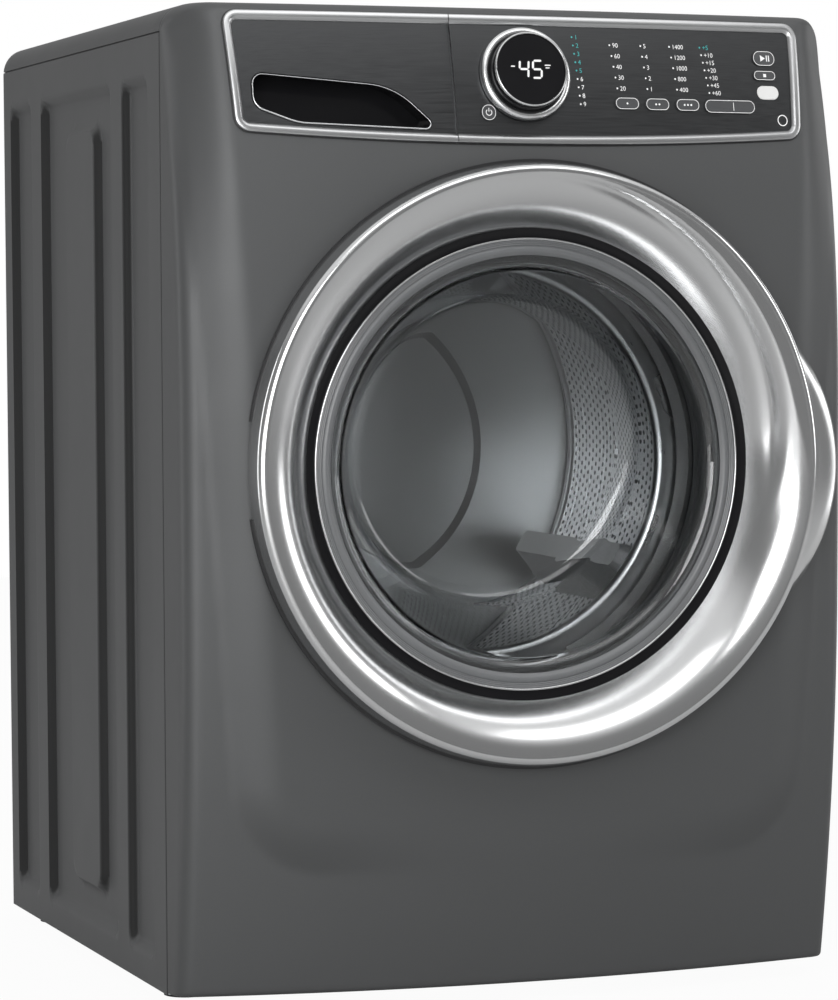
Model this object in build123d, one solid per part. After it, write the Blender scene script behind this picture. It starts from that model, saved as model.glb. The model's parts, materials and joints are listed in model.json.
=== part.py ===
from build123d import *
import os
from math import cos, hypot, radians, sin, sqrt

# Front load washing machine, millimetres.
# +X is right as seen from the front, +Y is towards the back, +Z is up.
# The origin is the middle of the bounding box, on the floor.

# Cabinet
WIDTH = 686.0
HEIGHT = 965.0
SIDE_DEPTH = 630.0          # side panels, from the front seam to the back
FOOT_GAP = 15.0             # floor to the lower edge of the panels
FRONT_LIFT = 3.0            # front panel's lower edge above the side panels'
TOP_RISE = 25.0             # height of the top panel
CORNER_R = 27.0             # upper corners, seen from the front
SHEET = 1.2                 # sheet steel
SEAM_GAP = 0.6              # open seam between neighbouring panels
SNUG = 0.3                  # gap between curved pieces that sit on each other
SPIGOT_REACH = 10.0         # hose spigots behind the rear panel

# Bowed front: how far it stands forward of the side seam
SIDE_CROWN = 69.0           # at the side edges, where they stand out most
SIDE_CREST_Z = 400.0
SIDE_TOP_FALL = 79.0
SIDE_FOOT_FALL = 37.0
EDGE_LIP = 2.0              # least standing out at the upper corners
BODY_BOW = 37.0             # middle of the body over its side edges
CENTRE_CROWN = 104.5        # middle of the raised shield
CENTRE_CREST_Z = 480.0
CENTRE_FALL = 28.0
KNEE_DROP = 185.0           # below this depth from the top the console leans back
CONSOLE_FALL = 20.5
SHIELD_BOW = 12.5           # fall of the shield at its bow half width
SHIELD_BOW_HALF = 294.0
SHIELD_FOOT_Z = 150.0
SHIELD_TOP_INSET = 21.0     # shield's edge from the cabinet side, at the knee
SHIELD_FOOT_INSET = 63.0    # and at its foot
SHIELD_CORNER_R = 75.0
SHIELD_FLANK = 36.0         # width of the slope round the shield
SURFACE_MARGIN = 5.0        # the bowed surface runs past the panel by this much
SURFACE_STEP = 17.0         # spacing of the points that shape it
SURFACE_TOLERANCE = 0.02

# Pressed recesses of the side panels
RECESS_DEPTH = 8.0
RECESS_FOOT = 29.0          # above the panel's lower edge
RECESS_HEAD = 40.0          # below its upper edge
RECESS_R = 14.0
REAR_RECESS = (33.0, 93.0)  # setback from the rear edge, and width
MID_RECESS = (168.0, 282.0)
FRONT_RECESS = (490.0, 95.0)
ISLAND_MARGIN = (69.0, 105.0)   # island inside the middle recess, from its front and back
ISLAND_ENDS = 41.0          # island's ends from the recess's ends

# Console
TRIM_TOP_DROP = 8.0
TRIM_HEIGHT = 114.0
TRIM_SIDE_INSET = 46.0      # trim's upper corners from the cabinet side
TRIM_TAPER = 6.0            # lower corners are this much further in
TRIM_BOW = 11.0
TRIM_R = 14.0
TRIM_BAND = 9.0
TRIM_LAP = 5.0              # trim over the edge of the panel
TRIM_PROUD = 3.5
FASCIA_THICK = 3.0
FASCIA_GAP = 0.5
SPLIT_X = -74.0             # line between the drawer front and the console
DIAL_X = -1.5
DIAL_DROP = 65.0            # dial centre below the top of the cabinet
DIAL_R = 46.0
DIAL_HEIGHT = 21.0
DIAL_TAPER = 4.0
DIAL_WALL = 8.0             # dial ring at its front rim
DIAL_SEAT = 1.0             # flat seat under the dial
DISPLAY_R = 34.5
DISPLAY_THICK = 3.0
DISPLAY_SINK = 2.0          # display's face behind the dial's front rim
BUTTON_PROUD = 1.5
BUTTON_TRAVEL = 1.0
BUTTON_CAP = 6.0            # length of a cap
BUTTON_GAP = 0.3
BUTTON_STEM_R = 2.5
POWER_BUTTON = ("power_button", 39.5, 101.5, 15.0, 15.0)    # as below, but left of the dial
# name, place left of the trim's lower right corner, drop below the top, width, height
BUTTONS = (
    ("temperature_button", 187.2, 90.5, 25.0, 11.0),
    ("soil_button", 154.8, 90.8, 25.0, 11.0),
    ("spin_button", 122.2, 90.8, 25.0, 11.0),
    ("options_button", 76.0, 91.5, 55.0, 12.0),
    ("start_button", 33.5, 43.0, 24.0, 14.0),
    ("cancel_button", 34.5, 60.0, 24.0, 8.5),
)
BOARD_WIDTH = 320.0
BOARD_HEIGHT = 80.0
BOARD_THICK = 14.0
BOARD_SETBACK = 22.0        # behind the console's middle
BOARD_INSET = 19.0          # board's right end from the trim's lower right corner
BOARD_BOSS_R = 4.0
BOARD_BOSS_INSET = 12.0
# bosses that hold the board: place left of its right end, lower or upper row
BOARD_BOSSES = ((202.0, -1), (202.0, 1), (50.0, 1), (9.0, -1))

# Detergent drawer
DRAWER_THICK = 4.0
SCOOP_DEPTH = 30.0
SCOOP_WALL = 1.5
SCOOP_LEFT = 19.0           # from the trim's lower left corner
SCOOP_RIGHT = 18.0          # tip, from the split line
SCOOP_FOOT = 3.5            # above the trim's lower corners
SCOOP_HEIGHT = 51.0
SCOOP_SHOULDER = (43.0, 11.0)   # bend of the upper edge, before the tip and below the top
SCOOP_HEEL = (42.0, 5.0)    # bend of the lower edge, from the lower left corner
SCOOP_END = 31.0            # height of the left end
SCOOP_ROUNDS = (10.0, 70.0, 5.0, 60.0, 14.0)
TRAY_WALL = 2.0
TRAY_SIDE = 18.0            # tray inside the drawer front, each side
TRAY_FOOT = 14.0            # above the trim's lower corners
TRAY_HEIGHT = 58.0
TRAY_LENGTH = 225.0
TRAY_FRONT = 30.0           # tray's front wall, forward of the seam
TRAY_BAYS = 3
TRAY_ARM = 12.0             # height of the arms that reach the drawer front
HOUSING_WALL = 2.5
HOUSING_SIDE_GAP = 1.5
HOUSING_HEAD_GAP = 7.0
HOUSING_REAR_GAP = 7.0

# Door
DOOR_DROP = 439.0           # door and drum axis below the top
DOOR_LIFT = 2.5             # door's back over the highest point of the front
RING_R = 291.0              # outer edge
RING_RIDGE_R = 283.0
RING_THICK = 28.0           # ridge in front of the outer edge
RING_SWELL_R = 257.0        # bend of the inner slope
RING_SWELL = 10.5           # the bend in front of the outer edge
RING_BORE_R = 228.0
RING_SINK = 19.0            # inner edge behind the outer edge
RING_WALL = 3.0
RIDGE_ROUND = 7.0
SWELL_ROUND = 150.0
EDGE_ROUND = 0.5
HANDLE_REACH = 318.0        # handle lobe, from the door axis
HANDLE_R = 182.0
HANDLE_TURN = -1.5          # degrees above the horizontal
HANDLE_BACK = 11.0          # handle's back behind the ring's back
HANDLE_THICK = 15.0
HANDLE_WIDTH = 45.0
HANDLE_ROUND = 6.0
BACK_PLATE = 3.0
BACK_PLATE_INSET = 1.0      # plate inside the ring's outer edge
BACK_STEP_R = 254.0         # from here inwards the back plate follows the ring's slope
BACK_SEAT_R = 229.0         # pocket that holds the glass
BACK_SEAT = 8.0             # depth of the pocket
BACK_PLATE_BORE_R = 205.0
SKIRT_R = 284.0
SKIRT_GAP = 2.5
SKIRT_NOTCH = 75.0          # skirt is open this far above and below the hinge
GLASS_RIM_R = 228.0
GLASS_THICK = 5.0
BOWL_R = 196.0
BOWL_END_R = 148.0
BOWL_DEPTH = 105.0
BOWL_END_RISE = 12.0
BOWL_END_TILT = 8.0         # degrees
DISH_R = 241.0              # foot of the panel's dish round the door opening
DISH_FLOOR = 37.0           # dish's floor behind the ring's back
DISH_FLARE = 0.5            # outward slope of its wall
OPENING_R = 203.0           # door opening in the front panel
COLLAR_DEPTH = 20.0

# Door hinge and lock
HINGE_INSET = 15.0          # hinge axis inside the ring's outer edge
HINGE_FORWARD = 5.0         # hinge axis in front of the ring's back
PIN_R = 3.5
PIN_SLACK = 0.05
BARREL_R = 7.0
BARREL_HALF = 22.0
EAR_GAP = 4.0
EAR_THICK = 8.0
LEAF_FOOT = 80.0
LEAF_THICK = 3.0
LEAF_INNER = 20.0           # leaf's inner edge from the hinge axis
LEAF_OUTER = 8.0
BRACKET_NEAR = 12.5         # bracket's foot, from the hinge axis
BRACKET_FAR = 19.0
BRACKET_ROOM = 3.0          # between the bracket and the door's back plate
BRACKET_RISE = 3.0          # top of its arm over the hinge axis
BRACKET_SLOPE = 5.0         # fall of the arm
BRACKET_THICK = 6.0
STRIKE_R = 267.0            # strike, from the door axis
STRIKE_WIDTH = 10.0
STRIKE_HALF = 15.0
STRIKE_LENGTH = 34.0
STRIKE_ROOM = 6.0
LOCK_INNER = 11.0
LOCK_OUTER = 30.0
LOCK_HALF_H = 45.0
LOCK_DEPTH = 50.0

# Tub and drum
TUB_SIDE_GAP = 51.0         # inside of the tub from the cabinet side
TUB_WALL = 4.0
TUB_FRONT_GAP = 35.0        # tub's front wall behind the seam
TUB_LENGTH = 482.0
TUB_FRONT_LENGTH = 225.0
TUB_NECK_R = 211.0
TUB_NECK = 25.0
TUB_FLANGE = 8.0
TUB_FLANGE_HALF = 5.0
TUB_HUB_R = 50.0
TUB_HUB_BACK = 23.0
TUB_HUB_GAP = 2.0           # between the spider and the tub's hub
RIB_COUNT = 8
RIB_THICK = 5.0
RIB_DEPTH = 12.0
WEIGHT_THICK = 30.0
WEIGHT_BORE_R = 228.0
WEIGHT_INSET = 6.0          # inside the tub's inner wall
WEIGHT_SPLIT = 60.0
DRUM_GAP = 22.0             # drum inside the tub
DRUM_SHEET = 1.2
DRUM_FRONT_GAP = 5.0        # drum's front behind the tub's front wall
DRUM_REAR_ROOM = 42.0       # tub longer than the drum
DRUM_MOUTH_R = 192.0
DRUM_LIP = 12.0
DRUM_BACK_DISH = 14.0
DRUM_BACK_DISH_R = 150.0
LIFTER_COUNT = 3
LIFTER_TURN = 60.0          # degrees, first lifter
LIFTER_LENGTH = 330.0
LIFTER_WIDTH = 68.0
LIFTER_HEIGHT = 62.0
LIFTER_TOP = 26.0
SPIDER_HUB_R = 36.0
SPIDER_DEPTH = 11.0
SPIDER_ARM = 34.0
SHAFT_R = 15.0
SHAFT_SLACK = 0.05
SHAFT_TAIL = 6.0
BEARING_R = 31.0
BEARING_WIDTH = 16.0
GASKET_WALL = 5.0
GASKET_FOLD_R = 231.0
GASKET_LIP = 7.0
GASKET_BEAD = 15.0

# Drive
PULLEY_R = 150.0
PULLEY_WIDTH = 20.0
PULLEY_GAP = 8.0            # behind the tub's hub
PULLEY_RIM = 8.0
PULLEY_HUB_R = 30.0
BELT_WIDTH = 12.0
BELT_THICK = 3.0
MOTOR_R = 55.0
MOTOR_LENGTH = 110.0
MOTOR_GAP = 2.0             # between the motor and the tub
MOTOR_PULLEY_R = 12.5
MOTOR_SHAFT_R = 7.0
MOTOR_LUG = 36.0

# Suspension
SPRING_X = 225.0
SPRING_SETBACK = 295.0      # behind the tub's front
SPRING_R = 12.0
SPRING_WIRE = 3.5
LUG_HALF = 12.0
LUG_RISE = 30.0
DAMPER_X = 150.0
DAMPER_SETBACK = 255.0
DAMPER_R = 14.0
DAMPER_ROD_R = 9.0
DAMPER_LENGTH = 150.0
DAMPER_BORE = 140.0
DAMPER_OVERLAP = 100.0

# Frame, feet and braces
BASE_SHEET = 2.0
BASE_HEIGHT = 45.0
BASE_GAP = 0.5
FOOT_INSET = 43.0           # from the cabinet side
FOOT_FRONT = 85.0           # foot's centre behind the seam
FOOT_REAR = 45.0            # and in front of the rear panel
FOOT_R = 22.0
FOOT_PAD = 12.0
STEM_R = 6.0
STEM_SLACK = 0.05
STEM_LENGTH = 52.0
FOOT_BOSS_R = 16.0
FOOT_BOSS = 28.0
FRONT_BRACE_SETBACK = 105.0 # behind the seam
BRACE_WIDTH = 30.0
BRACE_THICK = 6.0
SPRING_BRACE_HEIGHT = 33.0
BRACE_DROP = 2.0            # under the top panel's seam

# Rear panel
COVER_HALF_W = 165.0
COVER_HALF_H = 190.0
COVER_LAP = 16.0
COVER_R = 40.0
COVER_DROP = 106.0          # below the drum axis
SCREW_HEAD_R = 4.5
SCREW_HEAD = 2.5
SCREW_R = 2.0
SCREW_SLACK = 0.2
SCREW_LENGTH = 9.0
VALVE_X = -200.0
VALVE_DROP = 75.0           # below the top
VALVE_PITCH = 70.0
VALVE_HALF_W = 58.0
VALVE_HALF_H = 22.0
VALVE_DEPTH = 45.0
SPIGOT_R = 13.3
SPIGOT_COLLAR = 3.0
SPIGOT_BORE_R = 9.0
FILL_R = 9.0
FILL_BORE_R = 6.5
DRAIN_INSET = 75.0          # from the cabinet side
DRAIN_DROP = 115.0          # below the top
DRAIN_R = 14.0
DRAIN_BORE_R = 10.5
OUTLET_R = 12.0             # drain outlet behind the rear panel
INLET_X = 250.0
INLET_DROP = 60.0           # below the top
INLET_HALF_W = 24.0
INLET_HALF_H = 16.0
INLET_DEPTH = 22.0

# Pump and hoses
PUMP_X = 110.0
PUMP_LIFT = 10.0            # pump above the base
PUMP_R = 38.0
PUMP_FRONT = 40.0           # behind the seam
PUMP_LENGTH = 120.0
PUMP_FOOT = 26.0
HOSE_R = 18.3
HOSE_BORE_R = 15.3
SUMP_SETBACK = 100.0        # sump behind the tub's front wall
NECK_R = 15.0
NECK_BORE_R = 11.0
NECK_LENGTH = 24.0
HOSE_LAP = 10.0
SPOUT_X = -180.0

# Places worked out from the sizes
HALF_W = WIDTH / 2
DOOR_Z = HEIGHT - DOOR_DROP
DOOR_REACH = CENTRE_CROWN + DOOR_LIFT + RING_THICK
DEPTH = SPIGOT_REACH + SIDE_DEPTH + DOOR_REACH
SEAM_Y = DOOR_REACH - DEPTH / 2
REAR_Y = SEAM_Y + SIDE_DEPTH
SIDE_TOP_Z = HEIGHT - TOP_RISE - SEAM_GAP
FRONT_FOOT_Z = FOOT_GAP + FRONT_LIFT
KNEE_Z = HEIGHT - KNEE_DROP
TRIM_TOP_Z = HEIGHT - TRIM_TOP_DROP
TRIM_FOOT_Z = TRIM_TOP_Z - TRIM_HEIGHT
TRIM_HALF_TOP = HALF_W - TRIM_SIDE_INSET
TRIM_HALF_FOOT = TRIM_HALF_TOP - TRIM_TAPER
DIAL_Z = HEIGHT - DIAL_DROP
BOARD_Z = TRIM_TOP_Z - TRIM_HEIGHT / 2
BOARD_END_X = TRIM_HALF_FOOT - BOARD_INSET
RING_BACK = CENTRE_CROWN + DOOR_LIFT
HINGE_X = HINGE_INSET - RING_R
HINGE_W = RING_BACK + HINGE_FORWARD
HINGE_Y = SEAM_Y - HINGE_W
DISH_W = RING_BACK - DISH_FLOOR
LIP_Y = SEAM_Y - DISH_W + COLLAR_DEPTH
TUB_R = HALF_W - TUB_SIDE_GAP
WEIGHT_R = TUB_R - WEIGHT_INSET
DRUM_R = TUB_R - DRUM_GAP
DRUM_LENGTH = TUB_LENGTH - DRUM_REAR_ROOM
TUB_FRONT_Y = SEAM_Y + TUB_FRONT_GAP
TUB_BACK_Y = TUB_FRONT_Y + TUB_LENGTH
TUB_SPLIT_Y = TUB_FRONT_Y + TUB_FRONT_LENGTH
TUB_OUT_R = TUB_R + TUB_WALL
HUB_BACK_Y = TUB_BACK_Y + TUB_HUB_BACK
DRUM_FRONT_Y = TUB_FRONT_Y + TUB_WALL + DRUM_FRONT_GAP
DRUM_BACK_Y = DRUM_FRONT_Y + DRUM_LENGTH
SPIDER_BACK_Y = DRUM_BACK_Y + DRUM_SHEET + SPIDER_DEPTH
HUB_FRONT_Y = SPIDER_BACK_Y + TUB_HUB_GAP
PULLEY_Y = HUB_BACK_Y + PULLEY_GAP
MOTOR_Z = DOOR_Z - TUB_OUT_R - MOTOR_GAP - MOTOR_R
FRONT_BRACE_Y = SEAM_Y + FRONT_BRACE_SETBACK
SPRING_Y = TUB_FRONT_Y + SPRING_SETBACK
DAMPER_Y = TUB_FRONT_Y + DAMPER_SETBACK
BASE_FLOOR_Z = FOOT_GAP + BASE_GAP
BASE_TOP_Z = BASE_FLOOR_Z + BASE_SHEET
BRACE_TOP_Z = HEIGHT - TOP_RISE - BRACE_DROP
VALVE_Z = HEIGHT - VALVE_DROP
INLET_Z = HEIGHT - INLET_DROP
DRAIN_X = HALF_W - DRAIN_INSET
DRAIN_Z = HEIGHT - DRAIN_DROP
COVER_Z = DOOR_Z - COVER_DROP
PUMP_Z = BASE_TOP_Z + PUMP_LIFT + PUMP_R
FOOT_X = HALF_W - FOOT_INSET
VALVE_FRONT_Y = REAR_Y - SHEET - VALVE_DEPTH
INNER_HALF = HALF_W - SHEET

# Reach of the blocks that are cut by the bowed surface
FAR = DOOR_REACH + SIDE_DEPTH


# Plain shapes

def block(x_range, y_range, z_range):
    """Box between two values on each axis."""
    centre = [(low + high) / 2 for low, high in (x_range, y_range, z_range)]
    size = [high - low for low, high in (x_range, y_range, z_range)]
    return Pos(*centre) * Box(*size)


def rod_y(radius, y0, y1, x=0.0, z=DOOR_Z):
    """Round bar along Y."""
    plane = Plane((x, y0, z), x_dir=(1, 0, 0), z_dir=(0, 1, 0))
    return extrude(plane * Circle(radius), amount=y1 - y0)


def tube_y(radius, bore, y0, y1, x=0.0, z=DOOR_Z):
    return rod_y(radius, y0, y1, x, z) - rod_y(bore, y0, y1, x, z)


def rod_z(radius, z0, z1, x, y):
    """Round bar along Z."""
    return extrude(Plane((x, y, z0)) * Circle(radius), amount=z1 - z0)


def tube_z(radius, bore, z0, z1, x, y):
    return rod_z(radius, z0, z1, x, y) - rod_z(bore, z0, z1, x, y)


def turned(*points):
    """Ring turned about the drum axis from (radius, y) points."""
    plane = Plane((0, 0, DOOR_Z))
    face = plane * make_face(Polyline(*points, close=True))
    return revolve(face, axis=Axis((0, 0, DOOR_Z), (0, 1, 0)))


def front_view(y):
    """Plane seen from the front: its x and y are the object's X and Z."""
    return Plane((0, y, 0), x_dir=(1, 0, 0), z_dir=(0, -1, 0))


def prism(face, y=SEAM_Y, length=DOOR_REACH):
    """Front view outline carried forward from y."""
    return extrude(front_view(y) * face, amount=length)


def keep(name, *solids):
    """Write one node's solids to its own file."""
    pieces = []
    for solid in solids:
        pieces.extend(solid.solids())
    shape = pieces[0] if len(pieces) == 1 else Compound(children=pieces)
    export_step(shape, os.path.join("parts", name + ".step"))


# Bowed front surface

def eased(t):
    t = min(1.0, max(0.0, t))
    return t * t * (3 - 2 * t)


def shield_edge(x, z):
    """Distance outside the rounded U that bounds the raised shield."""
    share = (z - SHIELD_FOOT_Z) / (KNEE_Z - SHIELD_FOOT_Z)
    inset = SHIELD_FOOT_INSET + (SHIELD_TOP_INSET - SHIELD_FOOT_INSET) * share
    across = abs(x) - (HALF_W - inset) + SHIELD_CORNER_R
    below = SHIELD_FOOT_Z - z + SHIELD_CORNER_R
    corner = hypot(max(across, 0.0), max(below, 0.0))
    return corner + min(max(across, below), 0.0) - SHIELD_CORNER_R


def forward(x, z):
    """How far the front stands forward of the seam."""
    above = max(0.0, z - SIDE_CREST_Z) / (HEIGHT - SIDE_CREST_Z)
    under = max(0.0, SIDE_CREST_Z - z) / SIDE_CREST_Z
    edge = SIDE_CROWN - SIDE_TOP_FALL * above ** 4 - SIDE_FOOT_FALL * under ** 2
    body = max(edge, EDGE_LIP) + BODY_BOW * (1 - (x / HALF_W) ** 2)
    rise = (z - CENTRE_CREST_Z) / (HEIGHT - CENTRE_CREST_Z)
    knee = max(0.0, z - KNEE_Z) / KNEE_DROP
    middle = CENTRE_CROWN - CENTRE_FALL * rise ** 2 - CONSOLE_FALL * knee ** 2
    shield = middle - SHIELD_BOW * (x / SHIELD_BOW_HALF) ** 2
    share = eased(0.5 - shield_edge(x, z) / SHIELD_FLANK)
    return body + (shield - body) * share


def normal(x, z, step=0.5):
    """Outward direction of the front at a point."""
    slope_x = (forward(x + step, z) - forward(x - step, z)) / (2 * step)
    slope_z = (forward(x, z + step) - forward(x, z - step)) / (2 * step)
    return Vector(-slope_x, -1, -slope_z).normalized()


def seat_plane(x, z):
    """Plane that touches the front at a point, facing outwards."""
    return Plane((x, SEAM_Y - forward(x, z), z), x_dir=(1, 0, 0), z_dir=normal(x, z))


def bowed_face():
    reach_x = HALF_W + SURFACE_MARGIN
    low = FRONT_FOOT_Z - SURFACE_MARGIN
    high = HEIGHT + SURFACE_MARGIN
    columns = round(2 * reach_x / SURFACE_STEP)
    rows = round((high - low) / SURFACE_STEP)
    points = []
    for i in range(columns + 1):
        x = -reach_x + 2 * reach_x * i / columns
        heights = [low + (high - low) * j / rows for j in range(rows + 1)]
        points.append([Vector(x, SEAM_Y - forward(x, z), z) for z in heights])
    return Face.make_surface_from_array_of_points(points, tol=SURFACE_TOLERANCE)


def body_behind():
    """Everything behind the bowed surface."""
    margin = SURFACE_MARGIN / 2
    whole = block((-HALF_W - margin, HALF_W + margin), (SEAM_Y - DOOR_REACH, SEAM_Y + FAR),
                  (FRONT_FOOT_Z - margin, HEIGHT + margin))
    halves = whole.split(bowed_face(), keep=Keep.BOTH)
    return max(halves, key=lambda half: half.center().Y)


BEHIND = body_behind()


def behind(setback):
    """What lies behind the surface moved back by a setback."""
    return Pos(0, setback, 0) * BEHIND


def layer(shape, near, far):
    """The part of a shape between two setbacks from the surface."""
    return (shape & behind(near)) - behind(far)


# Cabinet

def cabinet_outline(inset, foot=FRONT_FOOT_Z):
    half = HALF_W - inset
    top = HEIGHT - inset
    face = make_face(Polyline((-half, foot), (half, foot), (half, top), (-half, top), close=True))
    upper = face.vertices().sort_by(Axis.Y)[-2:]
    return fillet(upper, CORNER_R - inset)


def pressing(y_range, z_range, start, end):
    """Sloping-walled block from (depth, growth) at the start to the same at the end."""
    middle_y = sum(y_range) / 2
    middle_z = sum(z_range) / 2
    faces = []
    for depth, grow in (start, end):
        plane = Plane((-HALF_W + depth, middle_y, middle_z), x_dir=(0, 1, 0), z_dir=(1, 0, 0))
        width = y_range[1] - y_range[0] + 2 * grow
        height = z_range[1] - z_range[0] + 2 * grow
        faces.append(plane * RectangleRounded(width, height, RECESS_R + grow))
    return loft(faces, ruled=True)


def side_panel():
    """Left side panel with its pressed recesses."""
    skew = SHEET * sqrt(2)
    foot = FOOT_GAP + RECESS_FOOT
    head = SIDE_TOP_Z - RECESS_HEAD
    panel = block((-HALF_W, -INNER_HALF), (SEAM_Y + SEAM_GAP, REAR_Y), (FOOT_GAP, SIDE_TOP_Z))
    for setback, width in (REAR_RECESS, MID_RECESS, FRONT_RECESS):
        span = (REAR_Y - setback - width, REAR_Y - setback)
        rise = (foot, head)
        hollow = pressing(span, rise, (0, 0), (RECESS_DEPTH, -RECESS_DEPTH))
        depth = RECESS_DEPTH + SHEET
        shell = pressing(span, rise, (0, skew), (depth, skew - depth))
        if (setback, width) == MID_RECESS:
            span = (span[0] + ISLAND_MARGIN[0], span[1] - ISLAND_MARGIN[1])
            rise = (foot + ISLAND_ENDS, head - ISLAND_ENDS)
            hollow -= pressing(span, rise, (0, 0), (RECESS_DEPTH, RECESS_DEPTH))
            shell -= pressing(span, rise, (SHEET, SHEET - skew), (depth, depth - skew))
        panel = panel + shell - hollow
    return panel


def dish_hollow(grow):
    """Hollow of the dish round the door opening, or its outside when grown."""
    floor_y = SEAM_Y - DISH_W + grow
    mouth_y = SEAM_Y - DOOR_REACH
    foot = DISH_R + grow
    mouth = foot + DISH_FLARE * (floor_y - mouth_y)
    return turned((0, floor_y), (foot, floor_y), (mouth, mouth_y), (0, mouth_y))


def front_panel():
    outer = prism(cabinet_outline(0.0)) & BEHIND
    inner = prism(cabinet_outline(SHEET, FRONT_FOOT_Z + SHEET)) & behind(SHEET)
    skin = outer - inner - dish_hollow(SHEET)
    skin += (dish_hollow(SHEET) - dish_hollow(0.0)) & BEHIND
    skin += tube_y(OPENING_R + SHEET, OPENING_R, SEAM_Y - DISH_W, LIP_Y)
    skin -= rod_y(OPENING_R, SEAM_Y - DOOR_REACH, SEAM_Y)
    skin -= prism(console_outline(TRIM_LAP))
    half = STRIKE_WIDTH / 2 + STRIKE_ROOM
    tall = STRIKE_HALF + STRIKE_ROOM
    skin -= block((STRIKE_R - half, STRIKE_R + half), (SEAM_Y - DOOR_REACH, SEAM_Y),
                  (DOOR_Z - tall, DOOR_Z + tall))
    return skin


def top_panel():
    start = SEAM_Y + SEAM_GAP
    length = REAR_Y - start
    outer = prism(cabinet_outline(0.0), REAR_Y, length)
    inner = prism(cabinet_outline(SHEET), REAR_Y - SHEET, length - 2 * SHEET)
    above = block((-HALF_W, HALF_W), (start, REAR_Y), (HEIGHT - TOP_RISE, HEIGHT))
    return (outer & above) - inner


def screw_places():
    """Places of the screws on the rear, as (x, z)."""
    places = []
    reach_x = COVER_HALF_W - COVER_LAP / 2
    reach_z = COVER_HALF_H - COVER_LAP / 2
    for column in (-1, 0, 1):
        for row in (-1, 0, 1):
            if column or row:
                places.append((column * (reach_x - abs(row) * COVER_LAP / 2),
                               COVER_Z + row * (reach_z - abs(column) * COVER_LAP / 2)))
    return places


def rear_pieces():
    back = block((-INNER_HALF, INNER_HALF), (REAR_Y - SHEET, REAR_Y), (FOOT_GAP, SIDE_TOP_Z))
    window = RectangleRounded(2 * (COVER_HALF_W - COVER_LAP), 2 * (COVER_HALF_H - COVER_LAP),
                              COVER_R - COVER_LAP)
    back -= prism(Pos(0, COVER_Z) * window, REAR_Y, 2 * SHEET)
    plate = RectangleRounded(2 * COVER_HALF_W, 2 * COVER_HALF_H, COVER_R)
    cover = prism(Pos(0, COVER_Z) * plate, REAR_Y + SHEET, SHEET)
    screws = []
    for x, z in screw_places():
        seat = REAR_Y + SHEET
        hole = rod_y(SCREW_R + SCREW_SLACK, REAR_Y - 2 * SHEET, seat + SHEET, x, z)
        back -= hole
        cover -= hole
        screw = rod_y(SCREW_HEAD_R, seat, seat + SCREW_HEAD, x, z)
        screws.append(screw + rod_y(SCREW_R, seat - SCREW_LENGTH, seat, x, z))
    for side in (-1, 1):
        x = VALVE_X + side * VALVE_PITCH / 2
        hole_r = SPIGOT_R + SPIGOT_COLLAR + FASCIA_GAP
        back -= rod_y(hole_r, REAR_Y - 2 * SHEET, REAR_Y + SHEET, x, VALVE_Z)
    back -= rod_y(DRAIN_R + FASCIA_GAP, REAR_Y - 2 * SHEET, REAR_Y + SHEET, DRAIN_X, DRAIN_Z)
    gap = FASCIA_GAP
    back -= block((INLET_X - INLET_HALF_W - gap, INLET_X + INLET_HALF_W + gap),
                  (REAR_Y - 2 * SHEET, REAR_Y + SHEET),
                  (INLET_Z - INLET_HALF_H - gap, INLET_Z + INLET_HALF_H + gap))
    keep("rear_panel", back)
    keep("rear_access_cover", cover)
    keep("cabinet_screws", *screws)


def power_inlet():
    body = block((INLET_X - INLET_HALF_W, INLET_X + INLET_HALF_W),
                 (REAR_Y - SHEET - INLET_DEPTH, REAR_Y),
                 (INLET_Z - INLET_HALF_H, INLET_Z + INLET_HALF_H))
    rim = COVER_LAP / 4
    body += block((INLET_X - INLET_HALF_W - rim, INLET_X + INLET_HALF_W + rim),
                  (REAR_Y, REAR_Y + BASE_SHEET),
                  (INLET_Z - INLET_HALF_H - rim, INLET_Z + INLET_HALF_H + rim))
    socket = block((INLET_X - INLET_HALF_W + rim, INLET_X + INLET_HALF_W - rim),
                   (REAR_Y - INLET_DEPTH + rim, REAR_Y + BASE_SHEET),
                   (INLET_Z - INLET_HALF_H + rim, INLET_Z + INLET_HALF_H - rim))
    body -= socket
    for column in (-1, 0, 1):
        x = INLET_X + column * INLET_HALF_W / 2
        body += block((x - BASE_SHEET / 2, x + BASE_SHEET / 2),
                      (REAR_Y - INLET_DEPTH, REAR_Y - rim),
                      (INLET_Z - rim, INLET_Z + rim))
    return body


def foot_places():
    names = []
    for end, y in (("front", SEAM_Y + FOOT_FRONT), ("rear", REAR_Y - FOOT_REAR)):
        for side, x in (("left", -FOOT_X), ("right", FOOT_X)):
            names.append((f"foot_{end}_{side}", x, y))
    return names


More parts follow.
